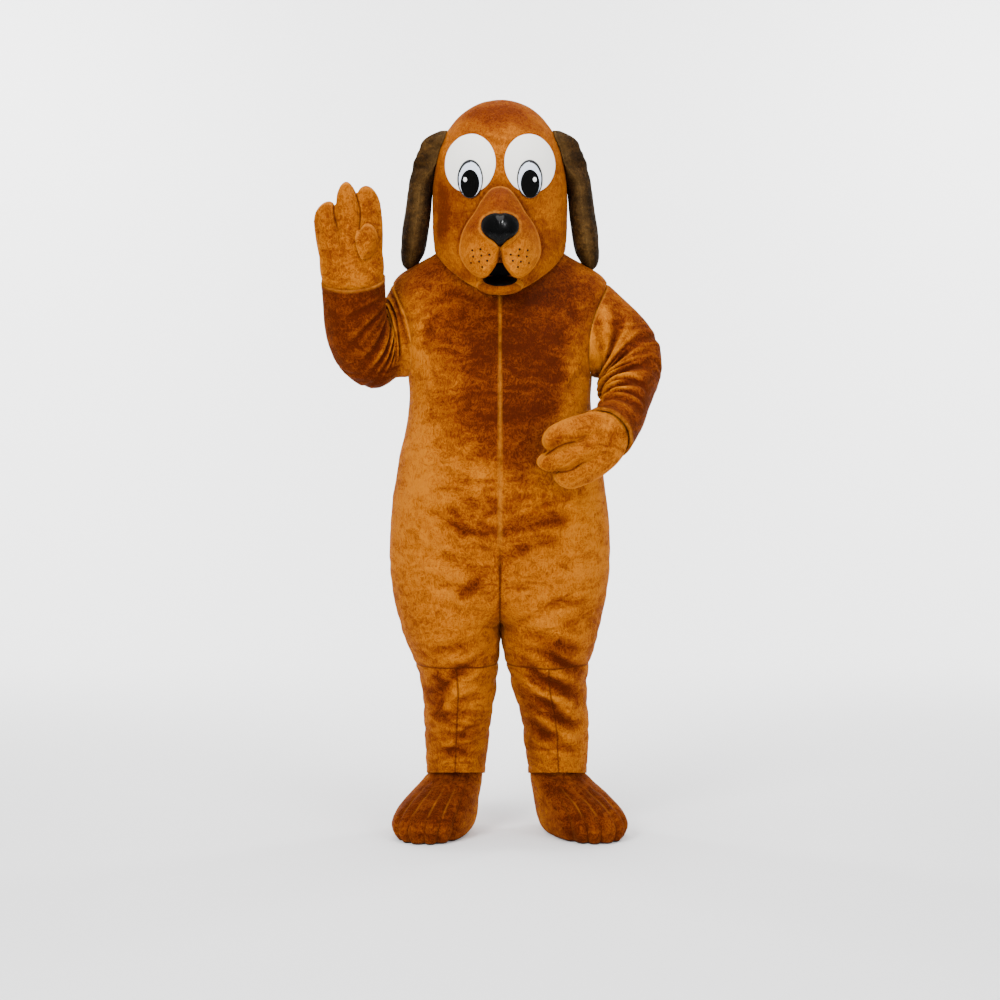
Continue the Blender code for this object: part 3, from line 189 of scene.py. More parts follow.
# Folds: the way the cloth faces, the fold's middle across and up, its length, slant in degrees, bend, width and
# depth. On the front and back, across is x; on the two sides it is y. bend lifts the ends against the middle.
# They run from the lap to the hems in front, then narrow creases, the legs' outsides, the seat, and the chest.
Fold = namedtuple("Fold", "faces across height length slant bend width depth")
FOLDS = facing(Fold, (3,), (
    (FRONT, (
        (-100, 905, 220, -9, 10, 11, 2.5), (60, 868, 170, 8, 8, 10, 2.2), (-130, 828, 240, -13, 12, 12, 3),
        (120, 800, 200, 12, 10, 12, 2.8), (-80, 770, 180, -12, 10, 11, 3.5), (-150, 722, 200, -18, 14, 13, 3.5),
        (100, 742, 200, 10, 12, 12, 3.5), (160, 690, 170, 20, 10, 12, 3), (-70, 690, 160, -10, 10, 10, 3),
        (60, 650, 160, 14, 10, 11, 3.5), (-120, 640, 190, -20, 12, 12, 3.5), (130, 598, 200, 24, 10, 13, 4),
        (-90, 585, 170, -16, 8, 11, 3.5), (70, 560, 150, 12, 6, 10, 3.5), (130, 500, 200, -20, 14, 16, 6.9),
        (150, 455, 180, -26, 10, 15, 7.5), (110, 405, 170, -30, 10, 16, 7.5), (165, 372, 150, -33, 8, 14, 7.5),
        (125, 328, 170, -34, 10, 16, 7.5), (170, 290, 130, -28, 6, 14, 6.9), (120, 258, 130, -30, 6, 14, 6.9),
        (155, 222, 130, -16, 6, 12, 6.3), (-110, 490, 200, 18, 12, 14, 5), (-90, 440, 150, 24, 10, 13, 5),
        (-130, 396, 160, 30, 10, 14, 5.5), (-85, 350, 130, 22, 8, 11, 5.5), (-125, 312, 150, 26, 8, 13, 5.5),
        (-100, 262, 120, 14, 6, 11, 5), (-120, 220, 110, 8, 6, 10, 4.4), (125, 462, 270, -21, 6, 7.5, 4.5),
        (98, 388, 170, -30, 5, 6, 3.6), (113, 315, 230, -31, 6, 7, 4.8), (108, 215, 150, -36, 4, 6, 3.6),
        (-95, 412, 110, 30, 4, 6, 3), (-152, 335, 150, 76, 4, 8, 3.6), (-105, 285, 120, -24, 4, 6, 3),
        (-140, 195, 100, 20, 4, 6, 3), (-115, 798, 270, -21, 10, 8.5, 3.2), (80, 835, 180, 6, -6, 8, 2.6),
        (-60, 735, 170, -8, 6, 8, 3),
    )),
    (BACK, (
        (115, 345, 160, 28, 5, 6.5, 3.4), (-120, 330, 170, -26, 5, 6.5, 3.4), (110, 470, 200, 18, 5, 7, 3.6),
        (-125, 475, 190, -20, 5, 7, 3.6),
    )),
    (RIGHT, (
        (20, 690, 240, 10, 12, 13, 1.8), (50, 610, 260, 14, 12, 13, 2), (10, 540, 240, -8, 12, 12, 2.2),
        (50, 480, 220, 16, 12, 12, 2.5), (10, 400, 200, -12, 10, 12, 2.5), (50, 330, 190, 18, 10, 11, 2.5),
        (30, 262, 170, -10, 10, 10, 2.2), (60, 205, 150, 8, 8, 10, 2),
    )),
    (LEFT, (
        (30, 680, 240, -8, 12, 13, 1.8), (40, 600, 250, -14, 12, 13, 2), (20, 530, 240, 10, 12, 12, 2.2),
        (50, 462, 220, -16, 12, 12, 2.5), (10, 392, 200, 10, 10, 12, 2.5), (50, 322, 190, -14, 10, 11, 2.5),
        (30, 255, 170, 12, 10, 10, 2.2),
    )),
    (BACK, (
        (-130, 640, 210, -22, -10, 13, 4), (-110, 595, 220, -26, -12, 12, 6), (-140, 545, 220, -20, -12, 12, 6.5),
        (-110, 500, 200, -28, -10, 12, 6), (-150, 452, 180, -14, 8, 11, 5.5), (-100, 410, 170, 12, 10, 12, 5),
        (-150, 362, 160, -16, 8, 12, 4.5), (-110, 300, 150, 14, 8, 11, 4), (-140, 235, 140, -12, 6, 10, 4),
        (-110, 185, 120, 6, 6, 9, 3.5), (130, 632, 210, 22, -10, 13, 4), (120, 585, 220, 24, -12, 12, 6),
        (140, 538, 220, 22, -12, 12, 6.5), (120, 492, 200, 26, -10, 12, 6), (160, 446, 180, 16, 8, 11, 5.5),
        (120, 402, 170, -14, 10, 12, 5), (160, 352, 160, 14, 8, 12, 4.5), (120, 292, 150, -12, 8, 11, 4),
        (150, 228, 140, 12, 6, 10, 4), (-100, 905, 200, -8, 10, 14, 2), (110, 930, 200, 8, 10, 14, 2),
    )),
    (FRONT, (
        (-175, 1250, 130, 62, 10, 12, 3.5), (-150, 1330, 110, 35, 6, 10, 3), (185, 1300, 120, -48, 8, 12, 3.5),
        (165, 1220, 120, -66, 10, 12, 3), (185, 1135, 120, 55, 8, 11, 3), (-185, 1120, 130, -60, 8, 12, 2.5),
    )),
    (BACK, (
        (-180, 1330, 120, -40, 8, 12, 3), (180, 1325, 120, 42, 8, 12, 3), (-185, 1160, 130, 55, 8, 12, 2.5),
        (185, 1165, 130, -55, 8, 12, 2.5),
    )),
))

# Where the pile is crushed dark or stands light, and a few painted shadows: side faced, across, height, half width,
# half height, turn in degrees, and how much lighter or darker.
Patch = namedtuple("Patch", "faces across height wide high turn lighter")
PATCHES = facing(Patch, (4,), (
    (FRONT, (
        (20, 1285, 215, 110, 0, -330), (20, 1130, 150, 120, 8, -330), (-85, 640, 32, 26, 0, -380),
        (-150, 360, 22, 70, 12, -300), (-130, 215, 30, 18, 0, -280), (-90, 425, 32, 18, 30, -220),
        (150, 500, 30, 16, -20, -220), (190, 600, 40, 12, 15, -160), (40, 1010, 110, 80, 0, -200),
        # The rows at 1360, 1420 and 1425 high are painted shadow on the chest, under and beside the head's rim.
        (120, 1360, 120, 40, 0, -200), (-20, 950, 110, 40, 0, -150), (-200, 1240, 22, 90, 8, 190),
        (-130, 1420, 110, 45, 8, -260), (150, 1425, 100, 40, -8, -200), (-210, 1040, 45, 170, 6, 200),
        (200, 1090, 50, 140, -6, 220), (-120, 900, 110, 90, 0, 160), (90, 800, 80, 30, 6, -280),
        (-85, 845, 90, 16, -10, -200), (-60, 790, 80, 16, -12, -340), (100, 735, 70, 18, 10, -200),
        (-190, 740, 80, 130, 0, 180), (220, 760, 60, 170, 0, 200), (-130, 540, 90, 110, 0, 100),
        (120, 620, 90, 90, 0, 120), (130, 440, 80, 45, -25, -260), (110, 300, 60, 90, -10, -240),
        (-90, 270, 50, 60, 0, -200), (-130, 420, 50, 25, 28, -180),
    )),
    (BACK, (
        (0, 1150, 180, 200, 0, -120), (-210, 1150, 45, 220, 0, 200), (210, 1150, 45, 220, 0, 200),
        (0, 640, 120, 60, 0, -220), (-150, 540, 80, 35, -20, -240), (150, 540, 80, 35, 20, -240),
        (-180, 800, 80, 140, 0, 160), (180, 800, 80, 140, 0, 160),
    )),
    (RIGHT, (
        (0, 800, 120, 240, 0, 80),
    )),
    (LEFT, (
        (0, 800, 120, 240, 0, 80),
    )),
))
HEAD_PATCHES = facing(Patch, (4,), (
    (FRONT, (
        (0, 1795, 110, 34, 0, -380), (-55, 1745, 60, 16, 22, -120), (60, 1765, 50, 20, -18, -120),
        # The rows at 1550 and 1525 high, on the right cheek, are painted shade on the face's shaded side.
        (0, 1680, 16, 50, 0, 100), (-95, 1550, 24, 50, 14, -180), (-142, 1525, 24, 70, 4, -580),
        (112, 1470, 30, 50, -10, -160), (120, 1560, 30, 45, 0, 120), (-120, 1440, 25, 30, 0, 120),
        (-90, 1398, 20, 34, -32, -240), (90, 1398, 20, 34, 32, -240),
    )),
    (RIGHT, (
        (-60, 1600, 50, 50, 0, -120), (60, 1760, 60, 20, 0, -160),
    )),
    (BACK, (
        (0, 1730, 110, 50, 0, -100), (-80, 1600, 60, 50, 0, 160), (70, 1530, 70, 50, 0, 140),
    )),
))

# Folds of a sleeve: where along it, 0 to 1, where round it in degrees from the elbow's side by the front, how
# long they are in degrees, slant as a share of the length, width as a share, and depth in metres.
Gather = namedtuple("Gather", "along round length slant width depth")
GATHERS_RIGHT = [Gather(*row) for row in mm((
    (35, 120, 130, 30, 16, 6), (90, 130, 180, 40, 17, 8.5), (145, 140, 200, 10, 19, 10), (205, 145, 190, 30, 19, 10),
    (265, 150, 200, -10, 20, 10), (340, 145, 200, 30, 24, 10), (430, 140, 190, 50, 24, 8), (540, 130, 170, 70, 26, 6),
    (680, 115, 150, 80, 26, 4.5), (820, 110, 120, 60, 24, 3), (210, 250, 120, 50, 20, 4.5),
    (380, 260, 130, -40, 21, 5), (540, 255, 120, 40, 20, 4.5), (300, 20, 90, 30, 20, 3), (470, 15, 90, -30, 20, 3),
), (1, 2))]
GATHERS_LEFT = [Gather(*row) for row in mm((
    (45, 110, 130, 100, 22, 6), (150, 135, 210, 110, 38, 13.5), (275, 120, 150, 20, 22, 8),
    (350, 150, 230, 70, 30, 12.5), (425, 115, 110, -30, 18, 6), (500, 150, 220, 10, 34, 12.5),
    (600, 130, 130, -70, 20, 6.5), (665, 155, 200, -10, 28, 10), (760, 120, 120, -80, 22, 4.5),
    (850, 130, 150, -30, 28, 4), (200, 235, 130, 50, 21, 5), (370, 250, 140, -40, 21, 5.5),
    (550, 250, 130, 50, 21, 5), (720, 240, 110, 30, 20, 3.5), (290, 20, 90, 30, 20, 3), (480, 25, 100, -30, 20, 3),
), (1, 2))]

# --- curves and shapes


def unit(v):
    return v / np.maximum(np.linalg.norm(v, axis=-1, keepdims=True), 1e-12)


def bell(value, width):
    """1 at 0, and nearly 0 from two widths on."""
    return np.exp(-((value / width) ** 2))


def rise(value, start, length):
    """0 up to start, then straight up to 1 over length, which is negative for a rise the other way."""
    return np.clip((value - start) / length, 0, 1)


def power(value, square):
    return np.sign(value) * np.abs(value) ** (2 / square)


def round_off(share, square):
    return (1 - np.clip(share, 0, 1) ** square) ** (1 / square)


def in_row(first, last, count):
    return np.linspace(first, last, count)[None, :]


def in_column(first, last, count):
    return np.linspace(first, last, count)[:, None]


def middle_and_half(front, back):
    return (back - front) / 2, (back + front) / 2


curves = {}  # each table's rows and slopes, with the table itself, so that its id stays its own


def read(table, value):
    """Rows of a table at any values of its first column, on smooth curves through its rows."""
    if id(table) not in curves:
        rows = np.array(table, float)
        if rows[0, 0] > rows[-1, 0]:
            rows = rows[::-1]
        curves[id(table)] = rows, np.gradient(rows, rows[:, 0], axis=0), table
    rows, slopes, _ = curves[id(table)]
    keys = rows[:, 0]
    value = np.clip(np.asarray(value, float), keys[0], keys[-1])
    i = np.clip(np.searchsorted(keys, value, "right") - 1, 0, len(keys) - 2)
    step = (keys[i + 1] - keys[i])[..., None]
    t = (value - keys[i])[..., None] / step
    made = (
        rows[i] * (1 + 2 * t) * (1 - t) ** 2
        + slopes[i] * step * t * (1 - t) ** 2
        + rows[i + 1] * t * t * (3 - 2 * t)
        + slopes[i + 1] * step * t * t * (t - 1)
    )
    return np.moveaxis(made, -1, 0)


def body_point(height, turn):
    """Points on the suit's left half: turn is 0 at the front seam, 1 at the side and 2 at the back seam."""
    height, turn = np.broadcast_arrays(np.asarray(height, float), np.asarray(turn, float))
    _, g_in, outer, front, back, square = read(BODY, height)
    turn = np.where(turn > 2, turn - 2, turn)
    inner = np.where(height < CROTCH, g_in, -outer * (1 - rise(height, FORK, CROTCH - FORK)))
    middle, half = middle_and_half(front, back)
    centre, radius = (outer + inner) / 2, (outer - inner) / 2
    ratio = np.clip(centre / radius, 0, 1) ** (square / 2)
    cut = np.where(height >= CROTCH, np.arccos(np.minimum(ratio, 1)), 0.0)
    a = cut + (np.pi - cut) * np.where(turn < 1, turn, 2 - turn)
    x = centre - radius * power(np.cos(a), square)
    y = middle - np.where(turn < 1, 1, -1) * half * power(np.maximum(np.sin(a), 0), square)
    return np.stack([x, y, height], axis=-1)


def lean(height):
    share = rise(np.asarray(height, float), LEAN_TOP, LEAN_FOOT - LEAN_TOP)
    return LEAN * share * share * (3 - 2 * share)


def head_shape(height):
    """The head's row at a height, on curves that are round at the crown."""
    return read(HEAD_ROUND, -np.sqrt(np.maximum(CROWN - np.asarray(height, float), 0)))


def face_point(x, height, lift=0.0):
    """Points in front of the face, lift metres off the head's surface."""
    x, height = np.broadcast_arrays(np.asarray(x, float), np.asarray(height, float))

    def at(px, pz):
        _, wide, front, back, square = head_shape(pz)
        middle, half = middle_and_half(front, back)
        share = np.minimum(np.abs(px) / wide, 0.9999)
        return np.stack([px, middle - half * (1 - share**square) ** (1 / square), pz], axis=-1)

    e = 0.001
    normal = unit(np.cross(at(x + e, height) - at(x - e, height), at(x, height + e) - at(x, height - e)))
    return at(x, height) + np.asarray(lift)[..., None] * normal


def muzzle_point(direction, share, lift=0.0016):
    _, reach, drop, square = read(MUZZLE, direction)
    forward = round_off(share, square)
    a = np.radians(direction)
    base = face_point(share * reach * np.cos(a), MUZZLE_HEIGHT + share * reach * np.sin(a), lift)
    return base + np.stack([0 * forward, -MUZZLE_DEPTH * forward, -share * drop * forward], axis=-1)


def from_middle(x, height, centre):
    """Directions in degrees and distances of places from a centre on the middle line."""
    return np.degrees(np.arctan2(height - centre, np.abs(x) + 1e-9)), np.hypot(x, height - centre)


def muzzle_front(x, height):
    """How far forward the muzzle reaches at places on its front."""
    z = np.array(height, float)
    for _ in range(40):
        direction, far = from_middle(x, z, MUZZLE_HEIGHT)
        _, reach, drop, square = read(MUZZLE, direction)
        share = np.minimum(far / reach, 0.97)
        z = height + share * drop * round_off(share, square)
    return face_point(x, z, 0.0016)[..., 1] - MUZZLE_DEPTH * round_off(share, square)


# --- noise, and the cloth's own relief


def noise(points, scale, seed=0):
    """Smooth noise from -1 to 1 at points, with lumps 1/scale metres apart."""
    p = np.asarray(points) * scale + 31.7 + seed * 17.3
    cell = np.floor(p).astype(np.int64)
    f = p - cell
    w = f * f * f * (f * (f * 6 - 15) + 10)
    total = 0
    for corner in range(8):
        o = np.array([corner & 1, corner >> 1 & 1, corner >> 2 & 1])
        c = cell + o
        h = (c[..., 0] * 374761393 + c[..., 1] * 668265263 + c[..., 2] * 2147483647 + seed * 1274126177) & 0x7FFFFFFF
        h = (h ^ h >> 13) * 1274126177 & 0x7FFFFFFF
        h = h ^ h >> 16
        g = np.stack([(h >> s & 1023) / 511.5 - 1 for s in (0, 10, 20)], axis=-1)
        weight = np.prod(np.where(o == 1, w, 1 - w), axis=-1)
        total = total + weight * ((f - o) * g).sum(axis=-1)
    return np.clip(total * 1.6, -1, 1)


def lumps(points, *kinds):
    """Soft lumps of several kinds, each its height in metres, its scale and its seed."""
    return sum(height * noise(points, scale, seed) for height, scale, seed in kinds)


def faced(points, normals, side):
    """How squarely the cloth faces a side, and where its points are across that side."""
    return normals[..., 0] * side[0] + normals[..., 1] * side[1], points[..., 0 if side[0] == 0 else 1]


def turned(dx, dz, degrees):
    """Distances along and off a line at a slant."""
    a = math.radians(degrees)
    return dx * math.cos(a) + dz * math.sin(a), dz * math.cos(a) - dx * math.sin(a)


def tapered(along, hardness):
    """1 in the middle of a fold and 0 at its ends, where along is -1 and 1."""
    return np.maximum(1 - along * along, 0) ** hardness


def folded(points, normals, folds):
    """How far folds sink the cloth, in metres, at points above the floor. Troughs have soft ridges beside them."""
    sunk = np.zeros(points.shape[:-1])
    for k, f in enumerate(folds):
        squarely, place = faced(points, normals, f.faces)
        along, off = turned(place - f.across, points[..., 2] - f.height, f.slant)
        along = along / (f.length / 2)
        off = off - f.bend * (along * along - 0.4) + 0.005 * np.sin(along * 4.1 + k * 1.7)
        t = off / f.width
        shape = bell(t, 1) - 0.42 * bell(np.abs(t) - 1.75, 1)
        sunk += rise(squarely, 0.30, 0.45) * f.depth * tapered(along, 2) * shape
    return sunk


def nap_and_painted_shade(points, normals, base, folds=(), patches=PATCHES):
    """How light the pile stands, with painted shade: base, changed by the patches, a few of which are painted
    shadows, and by the folds, with painted shade in their troughs and painted highlights on the ridges beside them.
    """
    made = np.full(points.shape[:2], float(base))
    wobble_x, wobble_z = (lumps(points, (0.035, 9, 11 + k), (0.012, 30, 13 + k)) for k in (0, 1))
    for p in patches:
        squarely, place = faced(points, normals, p.faces)
        u, v = turned(place - p.across + wobble_x, points[..., 2] - p.height + wobble_z, p.turn)
        far = (u / p.wide) ** 2 + (v / p.high) ** 2
        made += p.lighter * rise(squarely, 0, 0.5) * np.clip(1.35 * np.exp(-(far**1.5)), 0, 1)
    if len(folds):
        sunk = folded(points, normals, folds)
        # Painted highlights on the fold ridges and painted shade in their troughs.
        made += 70 * np.maximum(-sunk, 0) - 44 * np.maximum(sunk, 0)
    return made


# --- grids


def refine(grid, by):
    """A grid of points with more rows, on smooth curves through its own points."""
    n = len(grid)
    p = np.concatenate([2 * grid[:1] - grid[1:2], grid, 2 * grid[-1:] - grid[-2:-1]])
    at = np.linspace(0, n - 1, (n - 1) * by + 1)
    i = np.minimum(at.astype(int), n - 2)
    t = (at - i)[:, None, None]
    a, b, c, d = (p[i + k] for k in range(4))
    return b + 0.5 * t * (c - a + t * (2 * a - 5 * b + 4 * c - d + t * (3 * (b - c) + d - a)))


def normals_of(grid, out, closed=False):
    """Normals of a grid, turned away from the point or points in out."""
    if closed:
        wrapped = np.concatenate([grid[:, -2:-1], grid, grid[:, 1:2]], axis=1)
        along = wrapped[:, 2:] - wrapped[:, :-2]
    else:
        along = np.gradient(grid, axis=1)
    made = unit(np.cross(along, np.gradient(grid, axis=0)))
    return -made if ((grid - out) * made).sum() < 0 else made


def upright(normals, where):
    """Normals without their sideways part in some places, so that both halves meet smoothly."""
    return np.where(where[..., None], unit(normals * [0, 1, 1]), normals)


def pushed(grid, normals, by):
    return grid + normals * by[..., None]


def mirror(grid, side):
    return grid * np.array([side, 1, 1])


def edge_distance(grid, sides):
    """Distance along the cloth to the nearest of the named borders: left, right, first and last."""
    nearest = np.full(grid.shape[:2], 9.0)
    for axis, first, last in ((1, "left", "right"), (0, "first", "last")):
        steps = np.linalg.norm(np.diff(grid, axis=axis), axis=2)
        start = np.zeros_like(np.take(steps, [0], axis=axis))
        run = np.concatenate([start, np.cumsum(steps, axis=axis)], axis=axis)
        if first in sides:
            nearest = np.minimum(nearest, run)
        if last in sides:
            nearest = np.minimum(nearest, np.take(run, [-1], axis=axis) - run)
    return nearest


pieces = {}


def turned_in(grid, normals, values, axis, index, roll):
    """Adds rows or columns past a border, bent inwards, so that a cut edge never shows."""
    here, near = [slice(None)] * 2, [slice(None)] * 2
    here[axis], near[axis] = index, 1 if index == 0 else -2
    edge, n = grid[tuple(here)], normals[tuple(here)]
    away = unit(edge - grid[tuple(near)])

    def join(old, new):
        return np.concatenate([new, old] if index == 0 else [old, new], axis=axis)

    for share in (0.35, 0.7, 1.0):
        a = share * math.pi / 2
        bent = edge + away * roll * 0.25 * math.sin(a) - n * roll * (1 - math.cos(a) + 0.4 * share)
        grid = join(grid, np.expand_dims(bent, axis))
        normals, *values = [join(v, np.take(v, [index], axis=axis)) for v in (normals, *values)]
    return grid, normals, values


def cloth(name, grid, normals, mat, tone, seams, hems=(), relief=1.0, dip=SEAM_DIP, lines=0.0, roll=ROLL,
          light=0.75, core=0.4):
    """A thin shell of cloth through a grid of points above the floor. seams are its sewn borders, which dip, and hems
    its free ones. All of them are turned in. light is how light the pile stands beside them, and core how dark the
    seam itself is, which some callers use for painted shade in a cleft. The surface has soft lumps, by relief, and
    lines adds where the pile is parted, light above 0 and dark below, which some callers use for painted shade in
    grooves."""
    sewn, free = edge_distance(grid, seams), edge_distance(grid, hems)
    out = relief * lumps(grid, *CLOTH_LUMPS) * (1 - bell(sewn, SEAM_CALM)) - dip * bell(sewn, SEAM_WIDE)
    out = out - STITCH_DIP * (bell(free - HEM_STITCH, STITCH_WIDE) + np.clip(np.abs(lines), 0, 1))
    edge = light * (1.25 * bell(sewn, SEAM_LIGHT) + 0.7 * bell(free, HEM_LIGHT))
    edge = edge - core * bell(sewn, SEAM_CORE) + lines
    grid = pushed(grid, normals, out)
    values = [np.broadcast_to(tone, grid.shape[:2]).astype(float), np.clip(edge, -1, 1)]
    for side, axis, index in (("first", 0, 0), ("last", 0, -1), ("left", 1, 0), ("right", 1, -1)):
        if side in seams or side in hems:
            grid, normals, values = turned_in(grid, normals, values, axis, index, roll)
    mesh_of(name, grid, normals, mat, *values)


def placed(name, data):
    obj = bpy.data.objects.new(name, data)
    bpy.context.scene.collection.objects.link(obj)
    return obj


def made_of(bm, mesh, mat):
    bm.to_mesh(mesh)
    bm.free()
    mesh.shade_smooth()
    mesh.materials.append(mat)
    return placed(mesh.name, mesh)


def mesh_of(name, grid, normals, mat, tone=None, edge=None, closed=False):
    """A mesh object of a grid of points above the floor, facing along its normals. closed joins its last column
    to its first."""
    tone = np.full(grid.shape[:2], 0.5) if tone is None else tone
    edge = np.zeros(grid.shape[:2]) if edge is None else edge
    if closed:
        grid, normals, tone, edge = (v[:, :-1] for v in (grid, normals, tone, edge))
    index = np.arange(tone.size).reshape(tone.shape)
    if closed:
        index = np.concatenate([index, index[:, :1]], axis=1)
    quads = np.stack((index[:-1, :-1], index[:-1, 1:], index[1:, 1:], index[1:, :-1]), axis=-1).reshape(-1, 4)
    points = grid.reshape(-1, 3) - [0, 0, SHOULDER]
    a, b, c, d = points[quads.T]
    if (np.cross(c - a, d - b) * normals.reshape(-1, 3)[quads[:, 0]]).sum() < 0:
        quads = quads[:, ::-1]
    mesh = bpy.data.meshes.new(name)
    mesh.from_pydata(points.tolist(), [], quads.tolist())
    for label, numbers in (("tone", tone), ("edge", edge)):
        made = mesh.attributes.new(label, "FLOAT", "POINT")
        made.data.foreach_set("value", np.ascontiguousarray(numbers, dtype=np.float32).ravel())
    bm = bmesh.new()
    bm.from_mesh(mesh)
    bmesh.ops.remove_doubles(bm, verts=bm.verts, dist=1e-6)
    bmesh.ops.dissolve_degenerate(bm, edges=bm.edges, dist=1e-7)
    pieces[name] = made_of(bm, mesh, mat)


# --- materials


class Nodes:
    """A material's node tree, built in short calls."""

    def __init__(self, name):
        self.material = bpy.data.materials.new(name)
        self.material.use_nodes = True
        self.tree = self.material.node_tree
        self.coordinates = self.tree.nodes.new("ShaderNodeTexCoord").outputs["Object"]

    def put(self, socket, value):
        if isinstance(value, bpy.types.NodeSocket):
            self.tree.links.new(value, socket)
        else:
            socket.default_value = value

    def skin(self, **inputs):
        """Sets the shader's inputs, and gives the material."""
        for key, value in inputs.items():
            self.put(self.tree.nodes["Principled BSDF"].inputs[key.replace("_", " ")], value)
        return self.material

    def node(self, kind, inputs, output=0, **settings):
        made = self.tree.nodes.new(f"ShaderNode{kind}")
        for key, value in settings.items():
            setattr(made, key, value)
        for key, value in inputs.items():
            self.put(made.inputs[key], value)
        return made.outputs[output]

    def math(self, operation, a, b, clamp=False):
        return self.node("Math", {0: a, 1: b}, operation=operation, use_clamp=clamp)

    def add(self, a, b, clamp=False):
        return self.math("ADD", a, b, clamp)

    def less(self, a, b, clamp=False):
        return self.math("SUBTRACT", a, b, clamp)

    def times(self, a, b, clamp=False):
        return self.math("MULTIPLY", a, b, clamp)

    def noise(self, scale, detail=2.0, distortion=0.0):
        """Noise of one scale, or of one scale along each axis."""
        vector = self.coordinates
        if isinstance(scale, tuple):
            vector, scale = self.node("Mapping", {"Vector": vector, "Scale": scale}), 1.0
        inputs = {"Vector": vector, "Scale": scale, "Detail": detail, "Distortion": distortion}
        return self.node("TexNoise", inputs)

    def attribute(self, name):
        return self.node("Attribute", {}, "Fac", attribute_name=name)

    def ramp(self, value, stops):
        made = self.tree.nodes.new("ShaderNodeValToRGB")
        self.put(made.inputs[0], value)
        made.color_ramp.interpolation = "EASE"
        points = made.color_ramp.elements
        while len(points) < len(stops):
            points.new(0.5)
        for point, (place, colour) in zip(points, stops):
            point.position, point.color = place, (*colour, 1)
        return made.outputs[0]

    def mix(self, share, a, b, kind="MIX"):
        return self.node("Mix", {0: share, 6: a, 7: b}, 2, data_type="RGBA", blend_type=kind)

    def dimmed(self, colour, dull):
        return self.mix(1.0, colour, self.node("CombineColor", {0: dull, 1: dull, 2: dull}), "MULTIPLY")

    def bump(self, height, strength, distance, normal=None):
        inputs = {"Height": height, "Strength": strength, "Distance": distance}
        return self.node("Bump", inputs if normal is None else {**inputs, "Normal": normal})


def plush(name, stops, seam, patches=0.9, pile=1.0, sheen=0.10, tint=(0.9, 0.28, 0.03)):
    """Crushed pile. stops are its colours from where the pile leans away to where it stands, seam the colour where
    it is parted, and patches how strongly it is crushed."""
    n = Nodes(name)
    big = n.noise(8.0, 2.0, 1.2)
    brushed = n.add(n.times(n.less(n.noise((13, 13, 30), 4.0, 1.6), 0.47), 5.0), 0.5, True)
    streaks = n.noise((17, 17, 42), 3.0, 1.2)
    small = n.noise(46, 3.0, 1.0)
    curls = n.math("ABSOLUTE", n.less(n.noise((62, 62, 48), 1.0, 2.6), 0.5), 0.0)
    curls = n.less(1.0, n.times(curls, 7.0), True)
    strands = n.noise((230, 230, 120), 3.0, 0.6)
    fuzz = n.noise(760)
    value = n.attribute("tone")
    for part, middle, strength in (
        (big, 0.5, 0.42 * patches),
        (brushed, 0.66, 0.24 * patches),
        (streaks, 0.5, 0.22 * patches),
        (small, 0.5, 0.24 * patches),
        (curls, 0.35, 0.28),
        (strands, 0.5, 0.30),
    ):
        value = n.add(value, n.times(n.less(part, middle), strength))
    parted = n.times(n.attribute("edge"), n.add(-0.15, n.times(small, 1.6)), True)
    # Where edge is below 0 the colour goes to the darkest stop: dark seams, and painted shade in clefts and grooves.
    shut = n.times(n.attribute("edge"), -1.0, True)
    colour = n.mix(parted, n.ramp(value, stops), (*seam, 1))
    colour = n.mix(shut, colour, (*stops[0][1], 1))
    dull = n.add(0.62, n.times(n.add(fuzz, strands), 0.38))
    normal = None
    for height, strength, distance in (
        (streaks, 0.35, 0.0060),
        (small, 0.45, 0.0026),
        (curls, 0.60, 0.0022),
        (strands, 0.60, 0.0014),
        (fuzz, 0.50, 0.0005),
    ):
        normal = n.bump(height, strength, distance * pile, normal)
    return n.skin(
        Base_Color=n.dimmed(colour, dull),
        Roughness=n.less(0.92, n.times(small, 0.16)),
        Sheen_Weight=sheen,
        Sheen_Roughness=0.45,
        Sheen_Tint=(*tint, 1),
        Specular_IOR_Level=0.04,
        Normal=normal,
    )


def felt(name, colour):
    n = Nodes(name)
    fibres, clouds = n.noise(700, 3.0, 1.0), n.noise(30)
    dull = n.less(n.add(0.93, n.times(fibres, 0.09)), n.times(clouds, 0.05))
    return n.skin(
        Base_Color=n.dimmed((*colour, 1), dull),
        Roughness=n.less(0.95, n.times(fibres, 0.15)),
        Sheen_Weight=0.15,
        Normal=n.bump(fibres, 0.35, 0.0004),
    )


def gloss(name, colour, rough, coat=0.0, shine=0.5, ringed=False):
    """A shiny skin. ringed has a black line where the piece's "edge" is 1."""
    n = Nodes(name)
    cloud = n.noise(90)
    skin = n.mix(cloud, (*colour, 1), (*(min(1.0, c * 1.1 + 0.0005) for c in colour), 1))
    if ringed:
        skin = n.mix(n.math("GREATER_THAN", n.attribute("edge"), 0.5), skin, (0.006, 0.006, 0.008, 1))
    return n.skin(
        Base_Color=skin,
        Roughness=n.add(rough, n.times(n.noise(900), 0.06)),
        Specular_IOR_Level=shine,
        Coat_Weight=coat,
        Coat_Roughness=0.18,
        Normal=n.bump(cloud, 0.12, 0.0006),
    )


def matt(name, colour, grain_scale, depth):
    n = Nodes(name)
    grain = n.noise(grain_scale, 3.0)
    lighter = (*(min(1.0, c * 1.8 + 0.001) for c in colour), 1)
    return n.skin(
        Base_Color=n.mix(n.noise(25), (*colour, 1), lighter),
        Roughness=n.add(0.62, n.times(grain, 0.25)),
        Specular_IOR_Level=0.06,
        Normal=n.bump(grain, 0.5, depth),
    )


